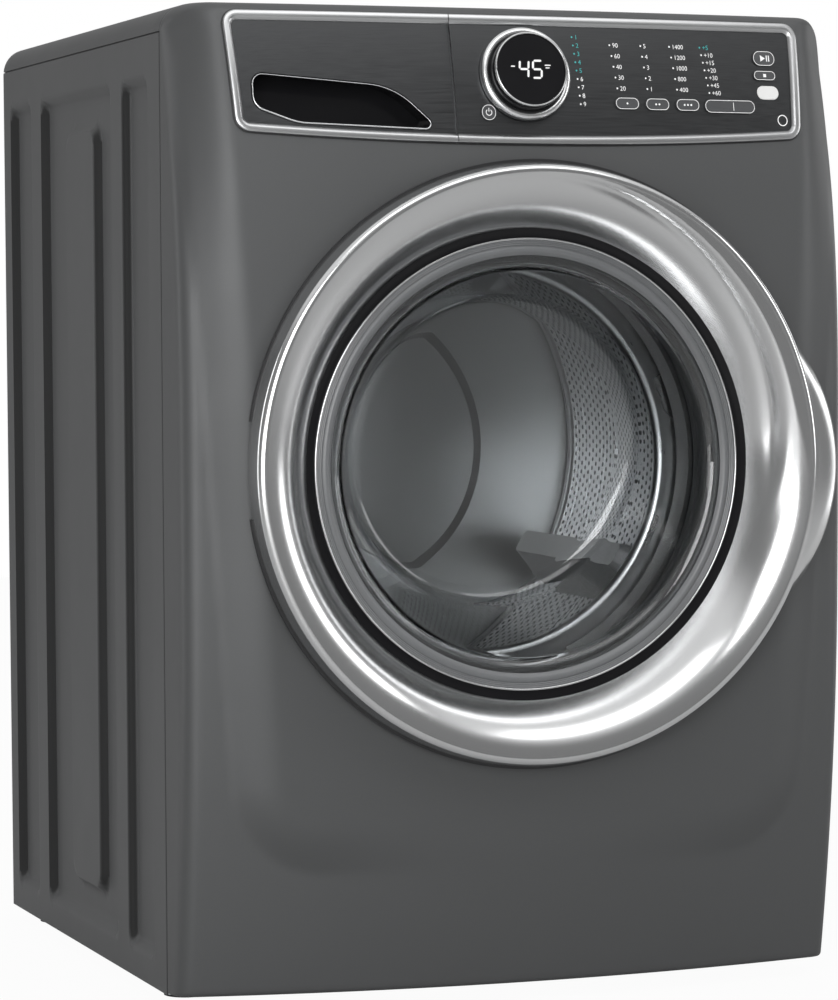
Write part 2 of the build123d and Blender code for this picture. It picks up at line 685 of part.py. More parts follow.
def base_and_feet():
    half = INNER_HALF - RECESS_DEPTH - SHEET - BASE_GAP
    wall = (SEAM_Y + SEAM_GAP, REAR_Y - SHEET - BASE_GAP)
    top = BASE_FLOOR_Z + BASE_HEIGHT
    base = block((-half, half), wall, (BASE_FLOOR_Z, top))
    base -= block((-half + BASE_SHEET, half - BASE_SHEET),
                  (wall[0] + BASE_SHEET, wall[1] - BASE_SHEET), (BASE_TOP_Z, top))
    for name, x, y in foot_places():
        base += rod_z(FOOT_BOSS_R, BASE_FLOOR_Z, BASE_FLOOR_Z + FOOT_BOSS, x, y)
    for name, x, y in foot_places():
        base -= rod_z(STEM_R + STEM_SLACK, BASE_FLOOR_Z, BASE_FLOOR_Z + FOOT_BOSS, x, y)
        foot = rod_z(FOOT_R, 0.0, FOOT_PAD, x, y)
        keep(name, foot + rod_z(STEM_R, FOOT_PAD, FOOT_PAD + STEM_LENGTH, x, y))
    # Tabs that carry the side panels
    for side in (-1, 1):
        for y in (wall[0] + FOOT_BOSS_R, wall[1] - FOOT_BOSS_R):
            reach = sorted((side * half, side * INNER_HALF))
            base += block(reach, (y - FOOT_BOSS_R, y + FOOT_BOSS_R), (BASE_FLOOR_Z, BASE_TOP_Z))
    keep("base_frame", base)


def top_braces():
    span = (-INNER_HALF, INNER_HALF)
    bars = [block(span, (FRONT_BRACE_Y - BRACE_WIDTH / 2, FRONT_BRACE_Y + BRACE_WIDTH / 2),
                  (BRACE_TOP_Z - BRACE_THICK, BRACE_TOP_Z))]
    across = (SPRING_Y - BRACE_WIDTH / 2, SPRING_Y + BRACE_WIDTH / 2)
    channel = block(span, across, (BRACE_TOP_Z - SPRING_BRACE_HEIGHT, BRACE_TOP_Z))
    hollow = (across[0] + BASE_SHEET, across[1] - BASE_SHEET)
    channel -= block(span, hollow, (BRACE_TOP_Z - SPRING_BRACE_HEIGHT, BRACE_TOP_Z - BASE_SHEET))
    for side in (-1, 1):
        seat = (side * SPRING_X - SPRING_R, side * SPRING_X + SPRING_R)
        floor = BRACE_TOP_Z - SPRING_BRACE_HEIGHT
        channel += block(seat, across, (floor, floor + BASE_SHEET))
    bars.append(channel)
    return bars


# Console

def console_outline(inset):
    top = TRIM_TOP_Z - inset
    foot = TRIM_FOOT_Z + inset
    half_top = TRIM_HALF_TOP - inset
    half_foot = TRIM_HALF_FOOT - inset
    sides = Polyline((-half_foot, foot), (-half_top, top), (half_top, top), (half_foot, foot))
    lower = ThreePointArc((half_foot, foot), (0, foot - TRIM_BOW), (-half_foot, foot))
    face = make_face([*sides.edges(), lower])
    return fillet(face.vertices(), TRIM_R - inset)


def console_side(face, side):
    """The console's part of an outline, or the drawer's."""
    edge = SPLIT_X + side * FASCIA_GAP / 2
    centre = edge + side * WIDTH
    return face & (Pos(centre, HEIGHT) * Rectangle(2 * WIDTH, 2 * HEIGHT))


def trim_band(side):
    band = console_outline(0.0) - console_outline(TRIM_BAND)
    return layer(prism(console_side(band, side)), -TRIM_PROUD, -SNUG)


def board_plane(depth):
    plane = seat_plane(0.0, BOARD_Z)
    return plane.offset(-BOARD_SETBACK - depth)


def button_places():
    """Each button with its place right of the middle."""
    name, inset, *sizes = POWER_BUTTON
    places = [(name, DIAL_X - inset, *sizes)]
    for name, inset, *sizes in BUTTONS:
        places.append((name, TRIM_HALF_FOOT - inset, *sizes))
    return places


def console_pieces():
    fascia = layer(prism(console_side(console_outline(TRIM_LAP + FASCIA_GAP), 1)), 0.0, FASCIA_THICK)
    dial = seat_plane(DIAL_X, DIAL_Z)
    pedestal = DIAL_HEIGHT - DISPLAY_SINK - DISPLAY_THICK
    fascia += extrude(dial.offset(-FASCIA_THICK) * Circle(DIAL_R), amount=FASCIA_THICK + DIAL_SEAT)
    fascia += extrude(dial * Circle(DISPLAY_R), amount=pedestal)
    board_face = board_plane(0.0)
    for x, row in BOARD_BOSSES:
        place = Pos(BOARD_END_X - x, row * (BOARD_HEIGHT / 2 - BOARD_BOSS_INSET), 0)
        boss = extrude(board_face * place * Circle(BOARD_BOSS_R), amount=2 * BOARD_SETBACK)
        fascia += boss & behind(FASCIA_THICK / 2)
    room = BUTTON_TRAVEL + BUTTON_GAP
    keep_out = extrude(board_plane(-room) * Pos(BOARD_END_X, 0, 0) * Rectangle(2 * WIDTH, WIDTH),
                       amount=-WIDTH)
    for name, x, drop, width, height in button_places():
        plane = seat_plane(x, HEIGHT - drop)
        cap = RectangleRounded(width, height, min(width, height) / 2 - BUTTON_GAP)
        hole = RectangleRounded(width + 2 * BUTTON_GAP, height + 2 * BUTTON_GAP,
                                min(width, height) / 2)
        fascia -= extrude(plane.offset(-2 * BUTTON_CAP) * hole, amount=4 * BUTTON_CAP)
        button = extrude(plane.offset(BUTTON_PROUD - BUTTON_CAP) * cap, amount=BUTTON_CAP)
        stem = extrude(plane * Circle(BUTTON_STEM_R), amount=-2 * BOARD_SETBACK)
        keep(name, (button + stem) - keep_out)
    keep("console_fascia", fascia)
    keep("console_trim", trim_band(1))
    lens = extrude(dial.offset(pedestal) * Circle(DISPLAY_R), amount=DISPLAY_THICK)
    keep("display_lens", lens)
    middle = BOARD_END_X - BOARD_WIDTH / 2
    board = extrude(board_face * Pos(middle, 0, 0) * Rectangle(BOARD_WIDTH, BOARD_HEIGHT),
                    amount=-BOARD_THICK)
    keep("control_board", board)
    foot = DIAL_SEAT + SNUG
    bore = DISPLAY_R + SNUG
    rim = DIAL_R - DIAL_TAPER
    round_off = DIAL_TAPER / 2
    profile = Polyline((bore, foot), (DIAL_R, foot), (DIAL_R, foot + DIAL_TAPER),
                       (rim, DIAL_HEIGHT - round_off), (rim - round_off, DIAL_HEIGHT),
                       (rim - DIAL_WALL + round_off, DIAL_HEIGHT),
                       (bore, DIAL_HEIGHT - round_off), close=True)
    section = Plane(dial.origin, x_dir=dial.x_dir, z_dir=-dial.y_dir)
    ring = revolve(section * make_face(profile), axis=Axis(dial.origin, dial.z_dir))
    keep("dial_ring", ring)


# Detergent drawer

def scoop_outline(grow):
    left = SCOOP_LEFT - TRIM_HALF_FOOT
    right = SPLIT_X - SCOOP_RIGHT
    foot = TRIM_FOOT_Z + SCOOP_FOOT
    top = foot + SCOOP_HEIGHT
    shoulder = (right - SCOOP_SHOULDER[0], top - SCOOP_SHOULDER[1])
    heel = (left + SCOOP_HEEL[0], foot + SCOOP_HEEL[1])
    edge = FilletPolyline((left, top), shoulder, (right, foot), heel, (left, top - SCOOP_END),
                          radius=SCOOP_ROUNDS, close=True)
    face = make_face(edge)
    return offset(face, amount=grow) if grow else face


def drawer_pieces():
    whole = console_side(console_outline(TRIM_LAP + FASCIA_GAP), -1)
    front = layer(prism(whole), 0.0, DRAWER_THICK)
    front -= prism(scoop_outline(SCOOP_WALL + SNUG))
    keep("drawer_front", front)
    keep("drawer_trim", trim_band(-1))
    cup = layer(prism(scoop_outline(SCOOP_WALL)), 0.0, SCOOP_DEPTH)
    cup -= prism(scoop_outline(0.0)) - behind(SCOOP_DEPTH - SCOOP_WALL)
    keep("drawer_handle_cup", cup)
    x0 = TRAY_SIDE - TRIM_HALF_FOOT
    x1 = SPLIT_X - TRAY_SIDE
    z0 = TRIM_FOOT_Z + TRAY_FOOT
    z1 = z0 + TRAY_HEIGHT
    y0 = SEAM_Y - TRAY_FRONT
    y1 = y0 + TRAY_LENGTH
    tray = block((x0, x1), (y0, y1), (z0, z1))
    bay = (x1 - x0 - (TRAY_BAYS + 1) * TRAY_WALL) / TRAY_BAYS
    for number in range(TRAY_BAYS):
        left = x0 + TRAY_WALL + number * (bay + TRAY_WALL)
        tray -= block((left, left + bay), (y0 + TRAY_WALL, y1 - TRAY_WALL), (z0 + TRAY_WALL, z1))
    for left in (x0, x1 - TRAY_WALL):
        arm = block((left, left + TRAY_WALL), (SEAM_Y - DOOR_REACH, y0), (z1 - TRAY_ARM, z1))
        tray += arm & behind(DRAWER_THICK + SNUG)
    keep("drawer_tray", tray)
    room = (x0 - HOUSING_SIDE_GAP, x1 + HOUSING_SIDE_GAP)
    shell = (room[0] - HOUSING_WALL, room[1] + HOUSING_WALL)
    floor = z0 - SNUG
    head = z1 + HOUSING_HEAD_GAP
    back = y1 + HOUSING_REAR_GAP
    box = block(shell, (y0, back + HOUSING_WALL), (floor - HOUSING_WALL, head + HOUSING_WALL))
    box -= block(room, (y0, back), (floor, head))
    hanger = BRACE_TOP_Z - BRACE_THICK
    for x in (shell[0] + BRACE_WIDTH, shell[1] - BRACE_WIDTH):
        box += block((x - BRACE_WIDTH / 2, x + BRACE_WIDTH / 2),
                     (FRONT_BRACE_Y - BRACE_WIDTH / 2, FRONT_BRACE_Y + BRACE_WIDTH / 2),
                     (head + HOUSING_WALL, hanger))
    spout = floor - HOUSING_WALL
    box += rod_z(NECK_R, spout - NECK_LENGTH, spout, SPOUT_X, sump_y())
    box -= rod_z(NECK_BORE_R, spout - NECK_LENGTH, floor, SPOUT_X, sump_y())
    inlet = back + HOUSING_WALL
    box += rod_y(FILL_BORE_R - SNUG, inlet, inlet + HOSE_LAP, VALVE_X, VALVE_Z)
    keep("dispenser_housing", box)
    return spout, inlet


def sump_y():
    return TUB_FRONT_Y + SUMP_SETBACK


# Door

def ring_section():
    """Cross-section of the door ring's shell, as radius and forward reach."""
    ridge = RING_BACK + RING_THICK
    swell = RING_BACK + RING_SWELL
    inner = RING_BACK - RING_SINK
    wall = RING_WALL
    rounds = (EDGE_ROUND, RIDGE_ROUND, SWELL_ROUND, EDGE_ROUND,
              EDGE_ROUND, SWELL_ROUND - wall, RIDGE_ROUND - wall, EDGE_ROUND)
    edge = FilletPolyline(
        (RING_R, RING_BACK), (RING_RIDGE_R, ridge), (RING_SWELL_R, swell), (RING_BORE_R, inner),
        (RING_BORE_R + wall, inner - wall / 2), (RING_SWELL_R + wall / 2, swell - wall),
        (RING_RIDGE_R - wall, ridge - 2 * wall), (RING_R - wall, RING_BACK),
        radius=rounds, close=True)
    return make_face(edge)


def about_y(face, x, z):
    """Turn a (radius, forward) face about an axis along Y."""
    plane = Plane((x, SEAM_Y, z), x_dir=(1, 0, 0), z_dir=(0, 0, -1))
    return revolve(plane * face, axis=Axis((x, SEAM_Y, z), (0, 1, 0)))


def handle_lobe():
    """Crescent grip that swells out of the ring's right side."""
    turn = radians(HANDLE_TURN)
    offset_r = HANDLE_REACH - HANDLE_R
    middle = (HANDLE_R - HANDLE_WIDTH / 2, RING_BACK - HANDLE_BACK + HANDLE_THICK / 2)
    face = Pos(*middle) * RectangleRounded(HANDLE_WIDTH, HANDLE_THICK, HANDLE_ROUND)
    grip = about_y(face, offset_r * cos(turn), DOOR_Z + offset_r * sin(turn))
    grip -= rod_y(RING_R - 2 * RING_WALL, SEAM_Y - DOOR_REACH, SEAM_Y)
    return grip - rod_y(RING_R - BACK_PLATE_INSET + SNUG, SEAM_Y - RING_BACK - SNUG, SEAM_Y)


def seat_w():
    """Forward reach of the floor that the glass rim lies on."""
    return RING_BACK - RING_SINK - RING_WALL / 2 - SNUG - BACK_SEAT


def glass_bowl():
    rim_y = SEAM_Y - seat_w()
    rim = tube_y(GLASS_RIM_R, BOWL_R - GLASS_THICK, rim_y - GLASS_THICK, rim_y)
    shells = []
    tilt = radians(BOWL_END_TILT)
    for wall in (0.0, GLASS_THICK):
        mouth = Plane((0, rim_y - GLASS_THICK, DOOR_Z), x_dir=(1, 0, 0), z_dir=(0, 1, 0))
        end = Plane((0, rim_y + BOWL_DEPTH - wall, DOOR_Z + BOWL_END_RISE), x_dir=(1, 0, 0),
                    z_dir=(0, cos(tilt), sin(tilt)))
        shells.append(loft([mouth * Circle(BOWL_R - wall), end * Circle(BOWL_END_R - wall)], ruled=True))
    return rim + shells[0] - shells[1]


def hinge_profile():
    """Ear of the hinge leaf, seen along the pin."""
    foot_x = HINGE_X + LEAF_OUTER
    foot_y = SEAM_Y - RING_BACK
    foot = Polyline((foot_x, foot_y), (HINGE_X + LEAF_INNER, foot_y),
                    (HINGE_X + LEAF_INNER, foot_y - LEAF_THICK),
                    (HINGE_X + BARREL_R, HINGE_Y - BARREL_R),
                    (HINGE_X, HINGE_Y - BARREL_R), (HINGE_X, HINGE_Y), close=True)
    return make_face(foot) + Pos(HINGE_X, HINGE_Y) * Circle(BARREL_R)


def along_z(face, z0, z1):
    return extrude(Plane((0, 0, z0)) * face, amount=z1 - z0)


def hinge_pieces():
    ear_z = BARREL_HALF + EAR_GAP
    leaf_span = (HINGE_X + LEAF_OUTER, HINGE_X + LEAF_INNER)
    foot_y = (SEAM_Y - RING_BACK - LEAF_THICK, SEAM_Y - RING_BACK)
    spine_y = HINGE_Y - BARREL_R - SNUG
    spine_x = (HINGE_X - BARREL_R / 2, HINGE_X + BARREL_R / 2)
    spine = block(spine_x, (spine_y - LEAF_THICK, spine_y),
                  (DOOR_Z - ear_z - EAR_THICK, DOOR_Z + ear_z + EAR_THICK))
    leaf = spine
    for side in (-1, 1):
        inner, outer = sorted((side * ear_z, side * (ear_z + EAR_THICK)))
        leaf += along_z(hinge_profile(), DOOR_Z + inner, DOOR_Z + outer)
        cap_y = (spine_y, HINGE_Y)
        leaf += block(spine_x, cap_y, (DOOR_Z + inner, DOOR_Z + outer))
        reach = sorted((side * ear_z, side * LEAF_FOOT))
        leaf += block(leaf_span, foot_y, (DOOR_Z + reach[0], DOOR_Z + reach[1]))
    tall = ear_z + EAR_THICK
    leaf -= block((-RING_R, 0), (SEAM_Y - RING_BACK, SEAM_Y), (DOOR_Z - tall, DOOR_Z + tall))
    leaf -= rod_z(PIN_R + PIN_SLACK / 2, DOOR_Z - tall, DOOR_Z + tall, HINGE_X, HINGE_Y)
    keep("hinge_leaf", leaf)
    keep("hinge_pin", rod_z(PIN_R, DOOR_Z - tall, DOOR_Z + tall, HINGE_X, HINGE_Y))
    low = DOOR_Z - BARREL_HALF
    high = DOOR_Z + BARREL_HALF
    near = HINGE_X + BRACKET_NEAR
    far = HINGE_X + BRACKET_FAR
    top = HINGE_Y - BRACKET_RISE
    arm = Polyline((HINGE_X, top), (far, top + BRACKET_SLOPE), (far, SEAM_Y), (near, SEAM_Y),
                   (near, top + BRACKET_SLOPE + BRACKET_THICK), (HINGE_X, top + BRACKET_THICK), close=True)
    bracket = along_z(make_face(arm), low, high) - behind(-SNUG)
    bracket += rod_z(BARREL_R, low, high, HINGE_X, HINGE_Y)
    bracket -= rod_z(PIN_R + PIN_SLACK, low, high, HINGE_X, HINGE_Y)
    keep("hinge_bracket", bracket)


def door_pieces():
    keep("door_ring", about_y(ring_section(), 0.0, DOOR_Z) + handle_lobe())
    back_y = SEAM_Y - RING_BACK
    step = BACK_PLATE
    rim = RING_R - BACK_PLATE_INSET
    seat = SEAM_Y - seat_w()
    lip = seat - BACK_SEAT
    plate = turned((rim, back_y), (BACK_STEP_R, back_y), (BACK_SEAT_R + step, lip), (BACK_SEAT_R, lip),
                   (BACK_SEAT_R, seat), (BACK_PLATE_BORE_R, seat), (BACK_PLATE_BORE_R, seat + step),
                   (BACK_SEAT_R + step, seat + step), (BACK_SEAT_R + 2 * step, lip + step),
                   (BACK_STEP_R + step / 2, back_y + step), (rim, back_y + step))
    skirt = tube_y(SKIRT_R, SKIRT_R - BACK_PLATE, back_y + BACK_PLATE, SEAM_Y)
    skirt -= behind(-SKIRT_GAP)
    skirt -= block((-2 * SKIRT_R, 0), (back_y - FAR, SEAM_Y + FAR),
                   (DOOR_Z - SKIRT_NOTCH, DOOR_Z + SKIRT_NOTCH))
    window = BARREL_HALF + EAR_GAP
    plate -= block((-2 * SKIRT_R, HINGE_X + BRACKET_FAR + BRACKET_ROOM), (back_y - FAR, SEAM_Y + FAR),
                   (DOOR_Z - window, DOOR_Z + window))
    keep("door_back_frame", plate + skirt)
    keep("door_glass", glass_bowl())
    half = STRIKE_WIDTH / 2
    strike_y = back_y + BACK_PLATE
    strike = block((STRIKE_R - half, STRIKE_R + half), (strike_y, strike_y + STRIKE_LENGTH),
                   (DOOR_Z - STRIKE_HALF, DOOR_Z + STRIKE_HALF))
    eye = block((STRIKE_R - half, STRIKE_R + half),
                (strike_y + STRIKE_LENGTH / 2, strike_y + STRIKE_LENGTH - half),
                (DOOR_Z - half, DOOR_Z + half))
    keep("door_strike", strike - eye)
    lock = block((STRIKE_R - LOCK_INNER, STRIKE_R + LOCK_OUTER), (SEAM_Y - DOOR_REACH, SEAM_Y),
                 (DOOR_Z - LOCK_HALF_H, DOOR_Z + LOCK_HALF_H))
    lock = layer(lock, SHEET + SNUG, SHEET + SNUG + LOCK_DEPTH)
    room = half + STRIKE_ROOM
    tall = STRIKE_HALF + STRIKE_ROOM
    lock -= block((STRIKE_R - room, STRIKE_R + room),
                  (SEAM_Y - DOOR_REACH, strike_y + STRIKE_LENGTH + STRIKE_ROOM),
                  (DOOR_Z - tall, DOOR_Z + tall))
    keep("door_lock", lock)
    hinge_pieces()


def door_gasket():
    rim = OPENING_R - SNUG
    inner = rim - GASKET_LIP
    neck = TUB_NECK_R + TUB_WALL + SNUG
    end = TUB_FRONT_Y - GASKET_WALL
    start = TUB_FRONT_Y - TUB_NECK - GASKET_WALL
    fold = GASKET_FOLD_R
    wall = GASKET_WALL
    clear = LIP_Y + SHEET
    return turned((inner, LIP_Y - GASKET_BEAD), (rim, LIP_Y - GASKET_BEAD), (rim, clear),
                  (fold, clear + 2 * wall), (fold, start - 2 * wall), (neck + wall, start - wall),
                  (neck + wall, end), (neck, end), (neck, start), (fold - wall, start - 3 * wall),
                  (fold - wall, clear + 3 * wall), (inner, clear + wall))


# Tub and drum

def tub_pieces():
    y0 = TUB_FRONT_Y
    y1 = TUB_SPLIT_Y
    front = turned((TUB_NECK_R, y0 - TUB_NECK), (TUB_NECK_R + TUB_WALL, y0 - TUB_NECK),
                   (TUB_NECK_R + TUB_WALL, y0), (TUB_OUT_R, y0), (TUB_OUT_R, y1 - TUB_FLANGE_HALF),
                   (TUB_OUT_R + TUB_FLANGE, y1 - TUB_FLANGE_HALF), (TUB_OUT_R + TUB_FLANGE, y1),
                   (TUB_R, y1), (TUB_R, y0 + TUB_WALL), (TUB_NECK_R, y0 + TUB_WALL))
    hollow = rod_y(TUB_R + TUB_WALL / 2, y0 + TUB_WALL / 2, y1)
    sump = sump_y()
    sump_z = DOOR_Z - sqrt(TUB_OUT_R ** 2 - PUMP_X ** 2)
    fill_z = DOOR_Z + sqrt(TUB_OUT_R ** 2 - SPOUT_X ** 2)
    for x, z0, z1 in ((PUMP_X, sump_z - NECK_LENGTH, DOOR_Z), (SPOUT_X, DOOR_Z, fill_z + NECK_LENGTH)):
        front += rod_z(NECK_R, z0, z1, x, sump) - hollow
        front -= rod_z(NECK_BORE_R, z0, z1, x, sump)
    keep("tub_front", front)
    back = TUB_BACK_Y
    rear = turned((TUB_R, y1), (TUB_OUT_R + TUB_FLANGE, y1), (TUB_OUT_R + TUB_FLANGE, y1 + TUB_FLANGE_HALF),
                  (TUB_OUT_R, y1 + TUB_FLANGE_HALF), (TUB_OUT_R, back), (TUB_HUB_R, back),
                  (TUB_HUB_R, HUB_BACK_Y), (BEARING_R, HUB_BACK_Y), (BEARING_R, HUB_FRONT_Y),
                  (TUB_HUB_R, HUB_FRONT_Y), (TUB_HUB_R, back - TUB_WALL), (TUB_R, back - TUB_WALL))
    for number in range(RIB_COUNT):
        rib = block((TUB_HUB_R - TUB_WALL, TUB_OUT_R - TUB_WALL), (back, back + RIB_DEPTH),
                    (DOOR_Z - RIB_THICK / 2, DOOR_Z + RIB_THICK / 2))
        rear += rib.rotate(Axis((0, 0, DOOR_Z), (0, 1, 0)), 360 * (number + 0.5) / RIB_COUNT)
    lug_z = DOOR_Z + sqrt(TUB_OUT_R ** 2 - SPRING_X ** 2) + LUG_RISE
    body = rod_y(TUB_R + TUB_WALL / 2, y1, back)
    for side in (-1, 1):
        lug = block((side * SPRING_X - LUG_HALF, side * SPRING_X + LUG_HALF),
                    (SPRING_Y - LUG_HALF, SPRING_Y + LUG_HALF), (DOOR_Z, lug_z))
        rear += lug - body
    keep("tub_rear", rear)
    weight_y = (TUB_FRONT_Y - WEIGHT_THICK, TUB_FRONT_Y)
    weight = tube_y(WEIGHT_R, WEIGHT_BORE_R, *weight_y)
    weight -= block((-WEIGHT_R, WEIGHT_R), weight_y, (DOOR_Z - WEIGHT_SPLIT, DOOR_Z + WEIGHT_SPLIT))
    keep("counterweights", weight)
    front_bearing = tube_y(BEARING_R, SHAFT_R + SHAFT_SLACK, HUB_FRONT_Y, HUB_FRONT_Y + BEARING_WIDTH)
    rear_bearing = tube_y(BEARING_R, SHAFT_R + SHAFT_SLACK, HUB_BACK_Y - BEARING_WIDTH, HUB_BACK_Y)
    keep("shaft_bearings", front_bearing, rear_bearing)
    return lug_z, sump_z, fill_z


def lifter(turn):
    """Tapered paddle inside the drum wall."""
    reach = DRUM_R - SNUG
    base = Plane((0, 0, DOOR_Z - reach))
    start = (DRUM_FRONT_Y + DRUM_BACK_Y) / 2
    foot = base * Pos(0, start) * RectangleRounded(LIFTER_WIDTH, LIFTER_LENGTH, LIFTER_WIDTH / 3)
    crown = base.offset(LIFTER_HEIGHT) * Pos(0, start) * RectangleRounded(
        LIFTER_TOP, LIFTER_LENGTH - 2 * LIFTER_TOP, LIFTER_TOP / 3)
    paddle = loft([foot, crown], ruled=True) & rod_y(reach, DRUM_FRONT_Y, DRUM_BACK_Y)
    return paddle.rotate(Axis((0, 0, DOOR_Z), (0, 1, 0)), turn)


def drum_pieces():
    y0 = DRUM_FRONT_Y
    y1 = DRUM_BACK_Y
    sheet = DRUM_SHEET
    out = DRUM_R + sheet
    lip = DRUM_MOUTH_R + sheet
    shell = turned((DRUM_MOUTH_R, y0 + DRUM_LIP), (DRUM_MOUTH_R, y0), (out, y0), (out, y1), (DRUM_R, y1),
                   (DRUM_R, y0 + sheet), (lip, y0 + sheet), (lip, y0 + DRUM_LIP))
    keep("drum_shell", shell)
    dish = DRUM_BACK_DISH
    near = DRUM_BACK_DISH_R
    end = y1 + sheet
    cap = turned((0, y1 - dish), (near, y1 - dish), (near + dish, y1), (out, y1), (out, end),
                 (near + dish - sheet, end), (near - sheet, end - dish), (0, end - dish))
    keep("drum_back", cap)
    turns = [LIFTER_TURN + 360 * number / LIFTER_COUNT for number in range(LIFTER_COUNT)]
    keep("drum_lifters", *[lifter(turn) for turn in turns])
    spider = rod_y(SPIDER_HUB_R, end - dish, SPIDER_BACK_Y)
    for turn in turns:
        arm = block((-SPIDER_ARM / 2, SPIDER_ARM / 2), (end, SPIDER_BACK_Y), (DOOR_Z - DRUM_R, DOOR_Z))
        spider += arm.rotate(Axis((0, 0, DOOR_Z), (0, 1, 0)), turn)
    spider += rod_y(SHAFT_R, end - dish, PULLEY_Y + PULLEY_WIDTH + SHAFT_TAIL)
    keep("drum_spider", spider)
    rim = tube_y(PULLEY_R, PULLEY_R - PULLEY_RIM, PULLEY_Y, PULLEY_Y + PULLEY_WIDTH)
    hub = tube_y(PULLEY_HUB_R, SHAFT_R + SHAFT_SLACK / 2, PULLEY_Y, PULLEY_Y + PULLEY_WIDTH)
    middle = PULLEY_Y + PULLEY_WIDTH / 2
    web = tube_y(PULLEY_R - PULLEY_RIM / 2, PULLEY_HUB_R - BASE_SHEET,
                 middle - RIB_THICK / 2, middle + RIB_THICK / 2)
    hole_z = DOOR_Z + (PULLEY_R + PULLEY_HUB_R) / 2
    for number in range(RIB_COUNT):
        hole = rod_y(PULLEY_HUB_R, PULLEY_Y, PULLEY_Y + PULLEY_WIDTH, 0.0, hole_z)
        web -= hole.rotate(Axis((0, 0, DOOR_Z), (0, 1, 0)), 360 * number / RIB_COUNT)
    keep("drum_pulley", rim + hub + web)


# Drive

def belt_loop(grow):
    """Outline of the belt round both pulleys."""
    big = Pos(0, DOOR_Z) * Circle(PULLEY_R + grow)
    small = Pos(0, MOTOR_Z) * Circle(MOTOR_PULLEY_R + grow)
    return make_hull(big.edges() + small.edges())


def drive_pieces():
    belt_end = PULLEY_Y + (PULLEY_WIDTH + BELT_WIDTH) / 2
    loop = belt_loop(SNUG + BELT_THICK) - belt_loop(SNUG)
    keep("drive_belt", prism(loop, belt_end, BELT_WIDTH))
    motor_end = PULLEY_Y - PULLEY_GAP
    motor_start = motor_end - MOTOR_LENGTH
    motor = rod_y(MOTOR_R, motor_start, motor_end, 0.0, MOTOR_Z)
    lug_y = (motor_start + BASE_SHEET, TUB_BACK_Y - BASE_SHEET)
    lugs = block((-MOTOR_R, MOTOR_R), lug_y, (MOTOR_Z, DOOR_Z))
    lugs -= block((-MOTOR_LUG / 2, MOTOR_LUG / 2), lug_y, (MOTOR_Z, DOOR_Z))
    motor += lugs - rod_y(TUB_OUT_R + SNUG, motor_start, motor_end)
    motor -= rod_y(MOTOR_SHAFT_R + SHAFT_SLACK, motor_start, motor_end, 0.0, MOTOR_Z)
    keep("motor_housing", motor)
    pulley = rod_y(MOTOR_PULLEY_R, PULLEY_Y, PULLEY_Y + PULLEY_WIDTH, 0.0, MOTOR_Z)
    keep("motor_pulley", pulley + rod_y(MOTOR_SHAFT_R, motor_start, PULLEY_Y, 0.0, MOTOR_Z))


# Suspension and water

def suspension_pieces(lug_z):
    spring_top = BRACE_TOP_Z - SPRING_BRACE_HEIGHT
    springs = []
    cylinders = []
    rods = []
    for side in (-1, 1):
        x = side * SPRING_X
        springs.append(tube_z(SPRING_R, SPRING_R - SPRING_WIRE, lug_z, spring_top, x, SPRING_Y))
        x = side * DAMPER_X
        top = BASE_TOP_Z + DAMPER_LENGTH
        cylinder = rod_z(DAMPER_R, BASE_TOP_Z, top, x, DAMPER_Y)
        cylinder -= rod_z(DAMPER_ROD_R + SHAFT_SLACK, top - DAMPER_BORE, top, x, DAMPER_Y)
        cylinders.append(cylinder)
        rod = rod_z(DAMPER_ROD_R, top - DAMPER_OVERLAP, DOOR_Z, x, DAMPER_Y)
        rods.append(rod - rod_y(TUB_OUT_R + SNUG, SEAM_Y, REAR_Y))
    keep("suspension_springs", *springs)
    keep("damper_cylinders", *cylinders)
    keep("damper_rods", *rods)


def drain_route(start):
    """Corners of the drain hose, from the pump to the rear panel."""
    side_x = DRAIN_X
    back_y = REAR_Y - SHEET - 2 * DRAIN_R
    return (start, (side_x, start[1], start[2]), (side_x, back_y, start[2]),
            (side_x, back_y, DRAIN_Z), (side_x, REAR_Y, DRAIN_Z))


